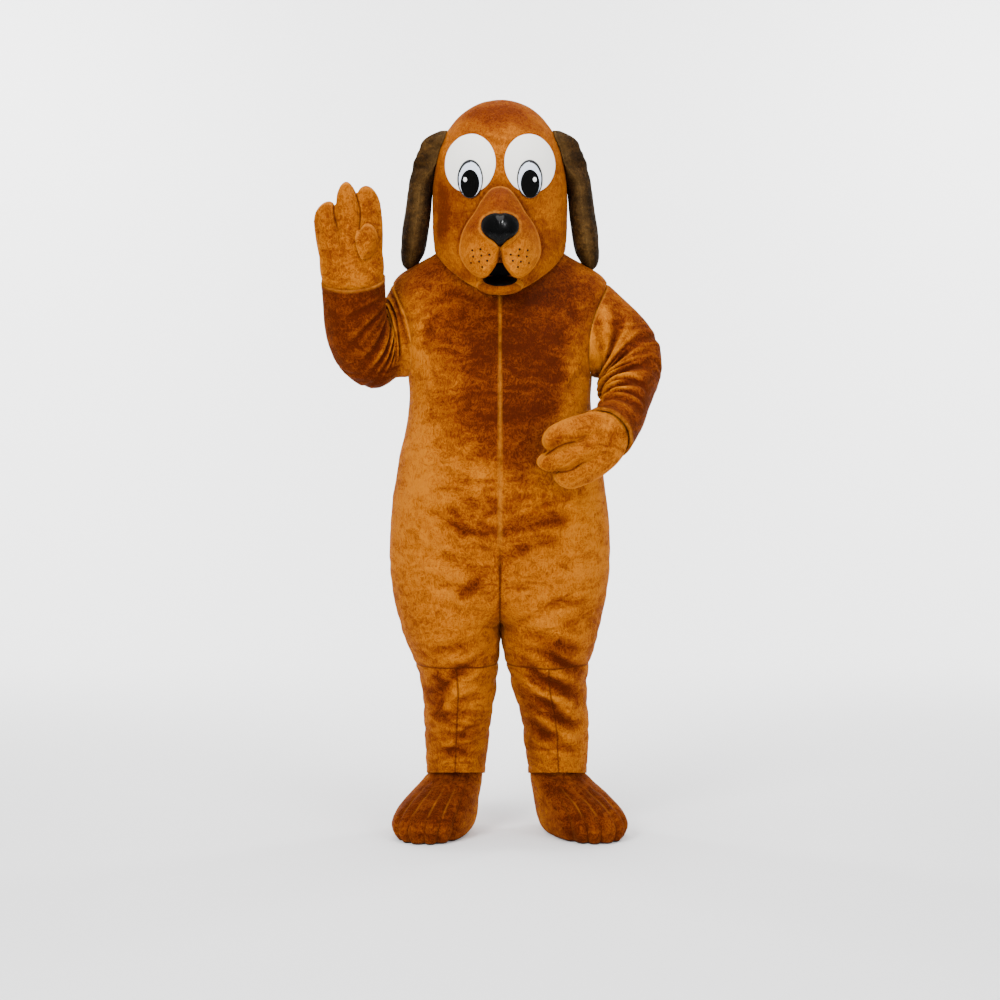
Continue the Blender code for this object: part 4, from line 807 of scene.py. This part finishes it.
RUST, BROWN, ORANGE, OCHRE, GOLD = (
    (0.084, 0.0122, 0.0002),
    (0.132, 0.0240, 0.0003),
    (0.190, 0.0440, 0.0005),
    (0.285, 0.0760, 0.0006),
    (0.380, 0.1140, 0.0020),
)
PARTED = (0.450, 0.150, 0.010)
body_plush = plush(
    "plush_brown_body",
    [(0.02, (0.052, 0.0064, 0.0001)), (0.22, RUST), (0.38, BROWN), (0.55, ORANGE), (0.74, OCHRE), (1.0, GOLD)],
    PARTED,
)
head_plush = plush(
    "plush_brown_head",
    [(0.05, RUST), (0.28, BROWN), (0.52, ORANGE), (0.76, OCHRE), (1.0, GOLD)],
    PARTED,
    patches=0.65,
    pile=0.60,
    sheen=0.06,
)
ear_plush = plush(
    "plush_dark_ear",
    [(0.05, (0.0075, 0.0030, 0.0006)), (0.35, (0.014, 0.0062, 0.0014)), (0.65, (0.030, 0.0130, 0.0026)),
     (0.95, (0.066, 0.031, 0.007))],
    (0.090, 0.046, 0.012),
    patches=1.5,
    sheen=0.04,
    tint=(0.6, 0.40, 0.20),
)
white_felt = felt("felt_white_patch", (0.93, 0.90, 0.83))
black_gloss = gloss("gloss_black_nose", (0.0006, 0.0006, 0.0006), 0.34, coat=0.13, shine=0.010)
pupil_gloss = gloss("gloss_black_eye", (0.0015, 0.0015, 0.0015), 0.55, shine=0.02)
white_gloss = gloss("gloss_white_eye", (0.86, 0.87, 0.90), 0.30)
disc_gloss = gloss("gloss_white_disc", (0.66, 0.72, 0.84), 0.30, ringed=True)
black_cloth = matt("lining_black_cloth", (0.0015, 0.0015, 0.0015), 900, 0.0003)
sole_rubber = matt("sole_black_rubber", (0.018, 0.014, 0.011), 420, 0.0005)


# --- the suit


def suit_heights():
    collar = np.linspace(COLLAR, SHOULDER, 19)[:-1]
    armhole = ARMHOLE_MIDDLE + ARMHOLE_HALF * np.cos(np.pi * np.arange(65) / 64)
    waist = np.linspace(UNDERARM, FORK, 81)[1:]
    fork = FORK - (FORK - CROTCH) * np.sin(np.pi / 2 * np.arange(1, 33) / 32)
    thigh = np.linspace(CROTCH, KNEE, 21)[1:]
    return np.concatenate([collar, armhole, waist, fork, thigh])[:, None]


def armhole_turn(height, front):
    reach = np.sqrt(np.clip(1 - ((height - ARMHOLE_MIDDLE) / ARMHOLE_HALF) ** 2, 0, 1))
    return 1 - ARMHOLE_FRONT * reach if front else 1 + ARMHOLE_BACK * reach


def suit_grid(heights, turns, side):
    grid = mirror(body_point(heights, turns), side)
    grid[..., 0] += lean(heights)
    around = body_point(heights, turns + STEP) - body_point(heights, np.maximum(turns - STEP, 0))
    up = body_point(heights + STEP, turns) - body_point(heights - STEP, turns)
    return grid, mirror(unit(np.cross(around, up)), side)


def creased(name, grid, normals, base, seams, hems, **look):
    """Cloth of the suit, with its folds, and their painted shade and highlights in the pile's tone."""
    moved = pushed(grid, normals, -folded(grid, normals, FOLDS))
    cloth(name, moved, normals, body_plush, nap_and_painted_shade(grid, normals, base, FOLDS), seams, hems, **look)


def suit_panel(name, side, front):
    heights, share = suit_heights(), in_row(0, 1, 97)
    start = 0.0 if front else 2.0
    turns = np.clip(start + (armhole_turn(heights, front) - start) * share, 1e-4, 2 - 1e-4)
    grid, normals = suit_grid(heights, turns, side)
    normals = upright(normals, (share < 1e-9) & (heights > CROTCH + 0.002))
    middle = lean(heights)
    grid[..., 0] = middle + side * np.maximum(side * (grid[..., 0] - middle), 0.0002)
    # Below the fork the seam's dark core is painted shade in the cleft between the legs.
    above = rise(heights, FORK - 0.02, 0.08)
    creased(name, grid, normals, SUIT_TONE, ("left", "right", "last"), ("first",),
            dip=SEAM_DIP * rise(np.abs(heights - CROTCH), 0, 0.04), light=0.12 + 0.75 * above, core=1.3 - above)


def shin_panel(name, side, first_turn, last_turn):
    turns = in_row(first_turn, last_turn, round((last_turn - first_turn) * 88) + 1)
    hem = (HEM_FRONT + HEM_BACK) / 2 + (HEM_FRONT - HEM_BACK) / 2 * np.sin(np.pi * turns)
    heights = KNEE + (hem - KNEE) * in_column(0, 1, 111)
    grid, normals = suit_grid(heights, turns, side)
    creased(name, grid, normals, SHIN_TONE, ("left", "right", "first"), ("last",), light=0.2, core=1.1)


def spaced(sections, count):
    """Rows at even steps through a table, on smooth curves."""
    numbered = [(i, *row) for i, row in enumerate(sections)]
    return read(numbered, np.linspace(0, len(sections) - 1, count)).T[:, 1:]


def sleeve_rings(sections, side, elbow_is_top, columns):
    """The sleeve's rings on smooth curves from the armhole to the hem, starting at the elbow's side, by the front."""
    k = np.linspace(0, 2 * ARMHOLE_STEPS, columns + 1)
    on_front = k <= ARMHOLE_STEPS
    along = np.where(on_front, k, 2 * ARMHOLE_STEPS - k)
    along = along if elbow_is_top else ARMHOLE_STEPS - along
    heights = ARMHOLE_MIDDLE + ARMHOLE_HALF * np.cos(np.pi * along / ARMHOLE_STEPS)
    turns = np.where(on_front, armhole_turn(heights, True), armhole_turn(heights, False))
    rings = [suit_grid(heights, turns, side)[0]]
    rows = spaced(sections, SLEEVE_STEPS)
    inside, outside = rows[:, :3], rows[:, 3:6]
    centres = (inside + outside) / 2
    tangents = unit(np.gradient(centres, axis=0))
    a = np.pi * k / ARMHOLE_STEPS
    for centre, reach, tangent, thick in zip(centres, (outside - inside) / 2, tangents, rows[:, 6]):
        forwards = unit(np.cross(tangent, reach))
        forwards = -forwards if forwards[1] > 0 else forwards
        rings.append(centre + np.outer(np.cos(a), reach) + np.outer(np.sin(a), forwards) * thick)
    return np.array(rings)


def gathered(rows, columns, gathers):
    """How far a sleeve's folds sink it, by row and column shares."""
    along, around = in_column(0, 1, rows), in_row(0, 360, columns)
    sunk = np.zeros((rows, columns))
    for k, g in enumerate(gathers):
        u = ((around - g.round + 180) % 360 - 180) / (g.length / 2)
        t = (along - g.along - g.slant * u + 0.012 * np.sin(u * 3.1 + 1.3 * k)) / g.width
        sunk += g.depth * tapered(u, 1.5) * (bell(t, 1) - 0.55 * bell(np.abs(t) - 1.7, 1))
    return sunk


def sleeve(name, sections, side, elbow_is_top, gathers, base):
    half = 11 * ARMHOLE_STEPS
    rings = refine(sleeve_rings(sections, side, elbow_is_top, 2 * half), 9)
    normals = normals_of(rings, rings[:, :-1].mean(axis=1, keepdims=True), closed=True)
    sunk = gathered(*rings.shape[:2], gathers)
    moved = pushed(rings, normals, -sunk)
    # Painted shade in the troughs of the folds and painted highlights on their ridges.
    tone = nap_and_painted_shade(rings, normals, base) - 36 * np.maximum(sunk, 0) + 105 * np.maximum(-sunk, 0)
    tone += 0.40 * bell(in_column(0, 1, len(rings)), 0.20) + lumps(rings, (0.10, 12, 21))
    for part, first in (("front", 0), ("back", half)):
        cut = slice(first, first + half + 1)
        cloth(f"{name}_{part}", moved[:, cut], normals[:, cut], body_plush, tone[:, cut],
              ("left", "right", "first"), ("last",), dip=0.0022, light=0.85, core=0.15)


# --- mitts


def mitt_point(hand, across, share, face, lift=0.0012):
    """Points of a mitt by shares across and along it, with the way out, the share of its length and its width."""
    start, middle, end = (np.array(p, float) for p in (hand.start, hand.middle, hand.end))
    tip = read(FINGERS, across)[1 if hand is MITT_RIGHT else 2]
    first = PALM[0][0]
    reach = first + (MITT_LENGTH * tip - first) * np.sin(share * np.pi / 2)
    s = np.maximum(reach, 0) / MITT_LENGTH
    t = s[..., None]
    point = start * (1 - t) ** 2 + middle * 2 * t * (1 - t) + end * t * t
    tangent = unit((middle - start) * (1 - t) + (end - middle) * t)
    towards = np.array(hand.thumbwards, float)
    side = unit(towards - tangent * (tangent * towards).sum(axis=-1, keepdims=True))
    out = unit(np.cross(side, tangent)) * face * hand.side
    _, half_width, half_thick = read(PALM, reach)
    between = 1 - np.abs(np.cos(1.5 * np.pi * across)) ** 0.6
    groove = 1 - 0.5 * between * rise(s, 0.3, 0.3)
    thick = half_thick * round_off(np.abs(across), 2.3) * groove * round_off(share, 5)
    wide = half_width * (1 + (hand.wrist - 1) * rise(reach, 0.08, -0.08))
    for way, by in ((tangent, np.minimum(reach, 0)), (side, wide * across), (out, thick + lift)):
        point = pushed(point, way, by)
    return point, out, s, wide


def polar(rows, spokes):
    """Shares of the way out from a middle, closer together near the rim, and angles round it."""
    return np.broadcast_arrays(np.sin(in_column(0, np.pi / 2, rows)), in_row(0, 2 * np.pi, spokes + 1))


def mitt(name, hand, base):
    share = in_column(0, 1, 97)
    share = share * (2 - share) * 0.6 + share * 0.4
    across, share = np.broadcast_arrays(np.sin(in_row(-np.pi / 2, np.pi / 2, 129)), share)
    for part, face in (("palm", -1), ("back", 1)):
        grid, out, s, wide = mitt_point(hand, across, share, face)
        seam = np.zeros_like(s)
        # The finger lines: lighter pile beside them and painted shade in the grooves between the fingers.
        for place in (-1 / 3, 1 / 3):
            off = (across - place) * wide + 0.004 * np.sin(s * 13 + 5 * place)
            seam += 0.55 * rise(s, 0.42, 0.12) * bell(off, 0.0050) - 1.6 * rise(s, 0.44, 0.2) * bell(off, 0.0024)
        # Lighter near the border: painted sheen along the mitt's outline, partly pile parted at the seams.
        border = np.minimum((1 - np.abs(across)) * wide * 2.2, (1 - share) * 0.12)
        tone = base + lumps(grid, (0.16, 14, 31)) + 0.24 * bell(border, 0.014)
        tone -= 0.22 * bell(across + 0.1, 0.45) * bell(s - 0.30, 0.16)
        tone -= 0.20 * bell(across - 0.62, 0.22) * bell(s - 0.76, 0.10)
        cloth(f"{name}_{part}", grid, normals_of(grid, grid - out), body_plush, tone, ("left", "right", "last"),
              ("first",), relief=0.7, dip=0.0006, lines=seam, roll=0.0016, light=0.9, core=0)
    share, a = polar(26, 72)
    u = THUMB.x + THUMB.half_width * share * np.cos(a)
    t = THUMB.z + THUMB.half_height * share * np.sin(a)
    grid, out, _, _ = mitt_point(hand, u, t, -1, hand.thumb_lift)
    grid = pushed(grid, out, THUMB.thick + THUMB.dome * round_off(share, 2.2))
    root = np.clip(np.cos(a + math.radians(50)), 0, 1) ** 2 * share**3
    grid = pushed(grid, out, lumps(grid, (0.0012, 24, 5)) - 0.010 * root)
    grid = np.concatenate([grid, grid[-1:] - out[-1:] * 0.004])
    out, share, a = (np.concatenate([v, v[-1:]]) for v in (out, share, a))
    edge = bell((1 - share) * 0.025, 0.003) * (1 - np.clip(np.cos(a + 0.87), 0, 1))
    mesh_of(f"{name}_thumb", grid, out, body_plush, base + 0 * share, edge, closed=True)


# --- feet and tail


def foot_grid(heights, turns, side, inset=0.0):
    _, middle_x, half_width, toes, heel, square, lobe = read(FOOT, heights)
    a = np.radians(turns)
    middle, half = middle_and_half(toes, heel)
    groove = np.max([bell(turns - t, 5.0) for t in TOE_SEAMS], axis=0)
    shrink = lobe * groove * 1.15 + inset + 0.015 * rise(heights, 0.05, -0.05) ** 2
    x = (half_width - shrink) * power(np.sin(a), square)
    y = middle - (half - shrink) * power(np.cos(a), square)
    toes_splay = SPLAY_LEFT if side > 0 else SPLAY_RIGHT
    splay = np.radians(SPLAY + (toes_splay - SPLAY) * rise(heights, 0.165, -0.07))
    px = x * np.cos(splay) - y * np.sin(splay)
    py = x * np.sin(splay) + y * np.cos(splay)
    return np.stack([side * (middle_x + px) + lean(heights), FOOT_BACK + py, heights + 0 * a], axis=-1)


def foot(word, side):
    for part, first, last in (("outer", 5, 180), ("inner", -180, 5)):
        heights, turns = np.broadcast_arrays(in_column(ANKLE, FOOT_LOW, 91), in_row(first, last, 131))
        grid = foot_grid(heights, turns, side)
        normals = normals_of(grid, grid.mean(axis=(0, 1), keepdims=True))
        # reach is how high the toe seams go, and dark how deep their painted shade grows towards the floor.
        reach, dark = rise(heights, 0.135, -0.04), 1.5 * rise(heights, 0.075, -0.03)
        seam, wrinkle = np.zeros(grid.shape[:2]), np.zeros(grid.shape[:2])
        for t in TOE_SEAMS[1:]:  # the first is only a dent
            off = np.radians(turns - t) * 0.12
            seam += reach * ((0.50 - 0.2 * dark) * bell(off, 0.0024) - dark * bell(off, 0.0016))
        for k, (height, depth) in enumerate(((0.140, 0.0030), (0.116, 0.0022))):
            wrinkle += depth * bell(heights - height + 0.006 * np.sin(np.radians(turns) * 3 + k), 0.008)
        wrinkle *= np.exp(-((turns / 75) ** 4))
        # The wrinkles' troughs are painted darker as shade.
        tone = FOOT_TONE + lumps(grid, (0.14, 13, 41)) - 20 * wrinkle + 0.34 * rise(np.abs(turns + 8), 42, 45)
        cloth(f"foot_{part}_{word}", pushed(grid, normals, -wrinkle), normals, body_plush, tone,
              ("left", "right", "last"), ("first",), dip=0.0012, lines=seam, roll=0.0030, light=0.3)
    turns = np.linspace(-180, 180, 181)
    rings = [
        foot_grid(np.full(181, height), turns, side, inset)
        for height, inset in ((SOLE, 0.0030), (0.0040, 0.0020), (0.0015, 0.0020), (0.0, 0.0040))
    ]
    middle = rings[0].mean(axis=0)
    ground = middle * [1, 1, 0]
    top = [middle + (rings[0] - middle) * k for k in (0.02, 0.6)]
    under = [ground + (rings[-1] - ground) * k for k in (0.6, 0.02)]
    grid = np.array(top + rings + under)
    mesh_of(f"sole_{word}", grid, unit(grid - ground - [0, 0, 0.003]), sole_rubber, closed=True)


def back_of_suit(x, height):
    _, _, outer, front, back, square = read(BODY, height)
    middle, half = middle_and_half(front, back)
    return middle + half * round_off(np.abs(x) / outer, square)


def tail():
    a = np.linspace(0, 2 * np.pi, 97)
    share = (1 + np.sin(a)) / 2
    rings = []
    for i, (y_up, z_up, y_low, z_low, half) in enumerate(spaced(TAIL, 91)):
        x = half * np.cos(a)
        y, z = y_low + (y_up - y_low) * share, z_low + (z_up - z_low) * share
        near = rise(i, 6, -6)
        y = y * (1 - near) + (back_of_suit(x, z) - 0.001) * near
        rings.append(np.stack([x, y, z], axis=-1))
    middle = rings[-1].mean(axis=0)
    for k in (0.75, 0.4, 0.02):
        rings.append(middle + (rings[-1] - middle) * k + [0, 0.004 * (1 - k), -0.001])
    grid = np.array(rings)
    centres = grid[:, :-1].mean(axis=1, keepdims=True)
    normals = normals_of(grid, centres, closed=True)
    off = grid[..., 0]
    seam = 0.75 * bell(off, 0.0035) * np.where(grid[..., 1] > centres[..., 1], 1, 0.8)
    grid = pushed(grid, normals, lumps(grid, (0.0016, 16, 3), (0.0007, 48, 5)) - 0.0022 * bell(off, 0.006))
    mesh_of("tail", grid, normals, body_plush, TAIL_TONE + lumps(grid, (0.16, 12, 51)), seam, closed=True)


# --- the head


def head_grid(angles, shares):
    rim = read(RIM, np.abs(angles))[1]
    heights = rim + (CROWN - rim) * np.sin(shares * np.pi / 2)
    _, wide, front, back, square = head_shape(heights)
    middle, half = middle_and_half(front, back)
    a = np.radians(angles)
    return np.stack([wide * power(np.sin(a), square), middle - half * power(np.cos(a), square), heights], axis=-1)


def head_panel(name, first, last, columns):
    angles, shares = np.broadcast_arrays(in_row(first, last, columns + 1), in_column(0, 1, 131))
    grid = head_grid(angles, shares)
    normals = normals_of(grid, [0, 0.02, 1.58])
    normals[-1] = [0, 0, 1]
    normals = upright(normals, np.abs(np.abs(angles) - 180) < 1e-6)
    direction, far = from_middle(grid[..., 0], grid[..., 2], MUZZLE_HEIGHT)
    off = far / read(MUZZLE, direction)[1]
    tone = nap_and_painted_shade(grid, normals, HEAD_TONE, patches=HEAD_PATCHES) + lumps(grid, (0.10, 9, 61))
    # A ring of painted shadow on the face just outside the muzzle.
    tone -= 0.30 * bell(off - 1.03, 0.05) * (np.abs(angles) < 88)
    cloth(name, grid, normals, head_plush, tone, ("left", "right"), ("first",), relief=0.55, dip=0.0016, roll=0.006)


def muzzle_half(name, side):
    direction, share = np.broadcast_arrays(in_row(-90, 90, 121), np.sin(np.pi / 2 * in_column(0, 1, 61)))
    grid = muzzle_point(direction, share)
    x = grid[..., 0] = np.maximum(grid[..., 0], MIDDLE_GAP)
    middle = (np.abs(direction) > 89.9) | (share < 1e-6)
    normals = upright(normals_of(grid, [0.03, -0.10, 1.49]), middle)
    under = bell(x, 0.004) * (direction < 0)
    puff = 0.0015 * bell(x - 0.035, 0.03) * (direction < 20)
    rough = lumps(grid, (0.0010, 16, 3), (0.0005, 50, 5)) * (x > 0.004)
    moved = pushed(grid, normals, puff + rough - 0.0028 * under)
    moved[..., 0] = np.where(middle, MIDDLE_GAP, moved[..., 0])
    tone = 0.50 + 0.28 * np.clip((1.480 - grid[..., 2]) / 0.03, -1, 1) + lumps(grid, (0.10, 15, 71))
    tone -= 0.16 * bell(x, 0.016) * (direction < -20)
    about, far = from_middle(x, grid[..., 2], NOSE_HEIGHT)
    beside_nose = bell(far - read(NOSE, about)[1] - 0.003, 0.0035) * (share < 0.8)
    edge = np.clip(0.70 * bell((share - 0.962) * 0.09, 0.0022) + 0.45 * under + 0.7 * beside_nose, 0, 1)
    grid = np.concatenate([moved, moved[-1:] + [0, 0.006, 0]])
    normals, tone, edge = (np.concatenate([v, v[-1:]]) for v in (normals, tone, edge))
    mesh_of(name, mirror(grid, side), mirror(normals, side), head_plush, tone, edge)


def pad_piece(name, p, side, mat, rows=20, spokes=96, drop=0.0, seed=0, uneven=0.0, bumps=0.0):
    """A pad on the face: its top in rings from the middle, then its edge, rounded down to the face."""
    share, a = polar(rows, spokes)
    wave = 1 + uneven * (0.5 * np.sin(5 * a + seed) + 0.3 * np.sin(9 * a + 2 * seed) + 0.3 * np.sin(2 * a + seed))

    def at(share, out, lift):
        x = p.x + (p.half_width * share * wave + out) * np.cos(a)
        return face_point(x, p.z + (p.half_height * share * wave + out) * np.sin(a), lift)

    top, high = p.lift + p.thick, round_off(share, 2.4)
    grid = at(share, 0, top) + np.stack([0 * high, -p.dome * high, -drop * high], axis=-1)
    grid[..., 1] -= lumps(grid, (bumps, 45, 5))
    steps = ((0.6, 0.3), (0.9, 0.7), (1.0, 1.6))
    rounded = [at(1, ROUNDING * out, top - ROUNDING * sunk)[-1:] for out, sunk in steps]
    grid = np.concatenate([grid, *rounded, at(1, ROUNDING, 0)[-1:]])
    normals = unit(face_point(grid[..., 0], grid[..., 2], 0.01) - face_point(grid[..., 0], grid[..., 2]))
    outside = np.ones(grid.shape[:2])
    outside[:rows] = share > 0.985 - 0.115 * (0.5 + 0.5 * np.cos(a - 1.0))
    mesh_of(name, mirror(grid, side), mirror(normals, side), mat, None, outside, closed=True)


def mouth():
    """The black lining: behind the lips, and over the top of the lower lip."""
    pad_piece("mouth_lining", MOUTH, 1, black_cloth)
    x = in_row(-LIP, LIP, 61)
    across = x / JAW.half_width
    low = 0.42 + 0.26 * (x / LIP) ** 2
    up = low + (np.sqrt(1 - across**2) - low) * in_column(0, 1, 25)
    x, z = x + 0 * up, JAW.z + JAW.half_height * up
    high = round_off(np.hypot(across, up), 2.4)
    grid = face_point(x, z, JAW.lift + JAW.thick)
    grid = grid + np.stack([0 * x, -JAW.dome * high, 0.0022 - JAW_DROP * high], axis=-1)
    grid = np.concatenate([grid[:1] - [0, 0, 0.0020], grid])
    mesh_of("mouth_over", grid, np.zeros_like(grid) + [0, 0, 1.0], black_cloth)
    back, over = pieces["mouth_lining"], pieces.pop("mouth_over")
    made = bmesh.new()
    for part in (back, over):
        made.from_mesh(part.data)
    made.to_mesh(back.data)
    made.free()
    bpy.data.objects.remove(over)


def nose():
    share, a = polar(30, 120)
    reach = read(NOSE, np.degrees(np.arcsin(np.clip(np.sin(a), -1, 1))))[1] * share
    x, z = reach * np.cos(a), NOSE_HEIGHT + reach * np.sin(a)
    groove = 0.0012 * bell(x, 0.0016) * rise(z, NOSE_HEIGHT - 0.014, -0.012)
    y = muzzle_front(x, z) - 0.0050 - NOSE_DOME * round_off(share, 2.3) + groove
    grid = np.stack([x, y, z], axis=-1)
    grid = np.concatenate([grid, grid[-1:] + [0, 0.0045, 0]])
    mesh_of("nose", grid, unit(grid - [0, -0.20, NOSE_HEIGHT - 0.002]), black_gloss, closed=True)


def ear(word, side):
    low, high = EAR[-1][0], EAR[0][0]
    heights = low + (high - low) * np.sin(in_column(np.pi / 2, 0, 131))
    _, x, y, half_width, half_thick = read(EAR, heights)
    u = np.sin(in_row(-np.pi / 2, np.pi / 2, 61)) + 0 * heights
    root = rise(heights, 1.615, 0.06)
    root = root * root * (3 - 2 * root)
    place = y + half_width * u - 0.012 * root * np.clip(-u, 0, 1)
    _, wide, front, back, square = head_shape(heights)
    middle, half = middle_and_half(front, back)
    side_of_head = wide * round_off(np.abs(place - middle) / half, square)
    bulge = (half_thick + root * 0.006 * bell(u + 0.55, 0.3)) * round_off(np.abs(u), 2.3)
    bulge = bulge * (1 - 0.45 * rise(-u, 0.15, 0.5) ** 2 * bell(heights - 1.662, 0.012))
    reach = x - root * u * u * np.maximum(x - side_of_head - 0.006, 0)
    dents = np.zeros_like(bulge)
    for height, where, length, slant, depth in EAR_FOLDS:
        along, off = turned(u * half_width - where, heights - height, slant)
        dents += depth * bell(off, 0.008) * tapered(along / (length / 2), 2)
    edge = bell((1 - np.abs(u)) * half_width, 0.0045)
    for part, face in (("outer", 1), ("inner", -1)):
        skin = reach + face * bulge
        if face < 0:
            skin = np.minimum(skin, skin + root * round_off(np.abs(u), 4) * (side_of_head + 0.0006 - skin))
        skin = np.maximum(skin, side_of_head + (0.0016 if face > 0 else 0.0004))
        grid = np.stack([skin, place, heights + 0 * u], axis=-1)
        normals = normals_of(grid, grid - [face, 0, 0])
        rough = lumps(grid, (0.0020, 17, 81 + face), (0.0009, 45, 83)) * round_off(np.abs(u), 6)
        grid[..., 0] += face * (rough - dents * round_off(np.abs(u), 3))
        # Painted shade in the ear's dents.
        tone = 0.50 + lumps(grid, (0.24, 12, 85 + face)) - 60 * dents
        cloth(f"ear_{part}_{word}", mirror(grid, side), mirror(normals, side), ear_plush, tone,
              ("left", "right"), relief=0.0, dip=0.0003, lines=0.5 * edge, roll=0.0012, core=0)


def whisker_dots(word, side):
    """Small dots of dark thread on the muzzle, in rows."""
    bm = bmesh.new()
    for height, count, start in WHISKER_ROWS:
        for k in range(count):
            x, z = start + WHISKER_GAP * k, height - 0.0015 * k
            y = float(muzzle_front(np.array([x]), np.array([z]))[0])
            made = bmesh.ops.create_uvsphere(bm, u_segments=12, v_segments=8, radius=WHISKER_RADIUS)
            bmesh.ops.translate(bm, verts=made["verts"], vec=(side * x, y - 0.0022, z - SHOULDER))
    return made_of(bm, bpy.data.meshes.new(f"whisker_dots_{word}"), black_cloth)


# --- the whole costume

SIDES = ((1, "left"), (-1, "right"))
for side, word in SIDES:
    suit_panel(f"suit_front_{word}", side, True)
    suit_panel(f"suit_back_{word}", side, False)
    shin_panel(f"shin_front_{word}", side, 0.5, 1.0)
    shin_panel(f"shin_back_{word}", side, 1.0, 1.5)
    shin_panel(f"shin_inner_{word}", side, 1.5, 2.5)
    foot(word, side)
    muzzle_half(f"muzzle_{word}", side)
    pad_piece(f"eye_patch_{word}", EYE_PATCH, side, white_felt, uneven=0.006, seed=side)
    pad_piece(f"eye_disc_{word}", EYE_DISC, side, disc_gloss)
    pad_piece(f"pupil_{word}", PUPIL, side, pupil_gloss)
    pad_piece(f"highlight_{word}", HIGHLIGHT, side, white_gloss, rows=8, spokes=32)
    ear(word, side)
sleeve("sleeve_left", SLEEVE_LEFT, 1, True, GATHERS_LEFT, SLEEVE_TONES["left"])
sleeve("sleeve_right", SLEEVE_RIGHT, -1, False, GATHERS_RIGHT, SLEEVE_TONES["right"])
mitt("mitt_right", MITT_RIGHT, MITT_TONES["right"])
mitt("mitt_left", MITT_LEFT, MITT_TONES["left"])
head_panel("head_face", -88, 88, 156)
head_panel("head_back_left", 88, 180, 82)
head_panel("head_back_right", -180, -88, 82)
mouth()
pad_piece("jaw", JAW, 1, head_plush, rows=36, drop=JAW_DROP, bumps=0.0008)
nose()
tail()

for name, obj in pieces.items():
    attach(obj, "root")
    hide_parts(name)
for side, word in SIDES:
    dots = whisker_dots(word, side)
    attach(dots, "root")

# --- the studio

# how far the floor and the paper reach to the sides, how far back the wall is, its bend at the floor, its height
WIDE, SHEET, WALL, BEND, HIGH = 60.0, 10.0, 5.3, 2.2, 8.0
START = WALL - BEND
profile = [(START + BEND * math.sin(a), BEND - BEND * math.cos(a)) for a in np.linspace(0, math.pi / 2, 17)]
profile.append((WALL, HIGH))
points = [(x, y, z - SHOULDER) for y, z in profile for x in (-SHEET, SHEET)]
faces = [(2 * k, 2 * k + 1, 2 * k + 3, 2 * k + 2) for k in range(len(profile) - 1)]
for left, right, near, far in ((-WIDE, WIDE, -WIDE, START), (-WIDE, -SHEET, START, WIDE), (SHEET, WIDE, START, WIDE)):
    faces.append(tuple(range(len(points), len(points) + 4)))
    points += [(x, y, -SHOULDER) for x, y in ((left, near), (right, near), (right, far), (left, far))]
floor_mesh = bpy.data.meshes.new("floor")
floor_mesh.from_pydata(points, [], faces)
floor_mesh.shade_smooth()
paper = bpy.data.materials.new("backdrop_paper")
paper.use_nodes = True
paper_skin = paper.node_tree.nodes["Principled BSDF"].inputs
paper_skin["Base Color"].default_value = (0.90, 0.90, 0.90, 1)
paper_skin["Roughness"].default_value = 0.9
floor_mesh.materials.append(paper)
floor = placed("floor", floor_mesh)


def light(name, place, aim, size, power_w, lit=True, mirrored=False):
    """A round lamp. lit lamps light the pile, and only mirrored ones show in the shiny pieces."""
    data = bpy.data.lights.new(name, "AREA")
    data.shape = "DISK"
    data.size = size
    data.energy = power_w
    obj = placed(name, data)
    obj.location = place
    obj.rotation_euler = (Vector(aim) - Vector(place)).to_track_quat("-Z", "Y").to_euler()
    obj.visible_camera = False
    obj.visible_diffuse = lit
    obj.visible_glossy = mirrored


light("key", (-2.2, -3.6, 1.6), (0, 0, -0.30), 1.8, 246)
light("fill", (2.8, -3.4, 0.6), (0, 0, -0.50), 2.4, 134)
light("top", (0.0, -0.6, 3.0), (0, 0, -0.40), 2.4, 144, mirrored=True)
light("glint", (0.75, -1.80, 2.0), (0, -0.33, 0.2), 0.55, 220, lit=False, mirrored=True)
light("backdrop_left", (-3.2, 2.7, 1.6), (0, 5.3, 0.4), 2.0, 330)
light("backdrop_right", (3.2, 2.7, 1.6), (0, 5.3, 0.4), 2.0, 330)
world = bpy.data.worlds.new("studio")
world.use_nodes = True
sky = world.node_tree.nodes["Background"].inputs
sky["Color"].default_value = (0.95, 0.97, 1.0, 1)
sky["Strength"].default_value = 0.69
bpy.context.scene.world = world

camera_data = bpy.data.cameras.new("camera")
camera_data.lens = 72
camera_data.sensor_width = 36
camera = placed("camera", camera_data)
DISTANCE, EYE, AIM = 5.0, 1.120, 0.8390  # from the camera to the costume, and its height and its aim's
camera.location = (0, -DISTANCE, EYE - SHOULDER)
camera.rotation_euler = (math.pi / 2 - math.atan((EYE - AIM) / DISTANCE), 0, 0)
bpy.context.scene.camera = camera
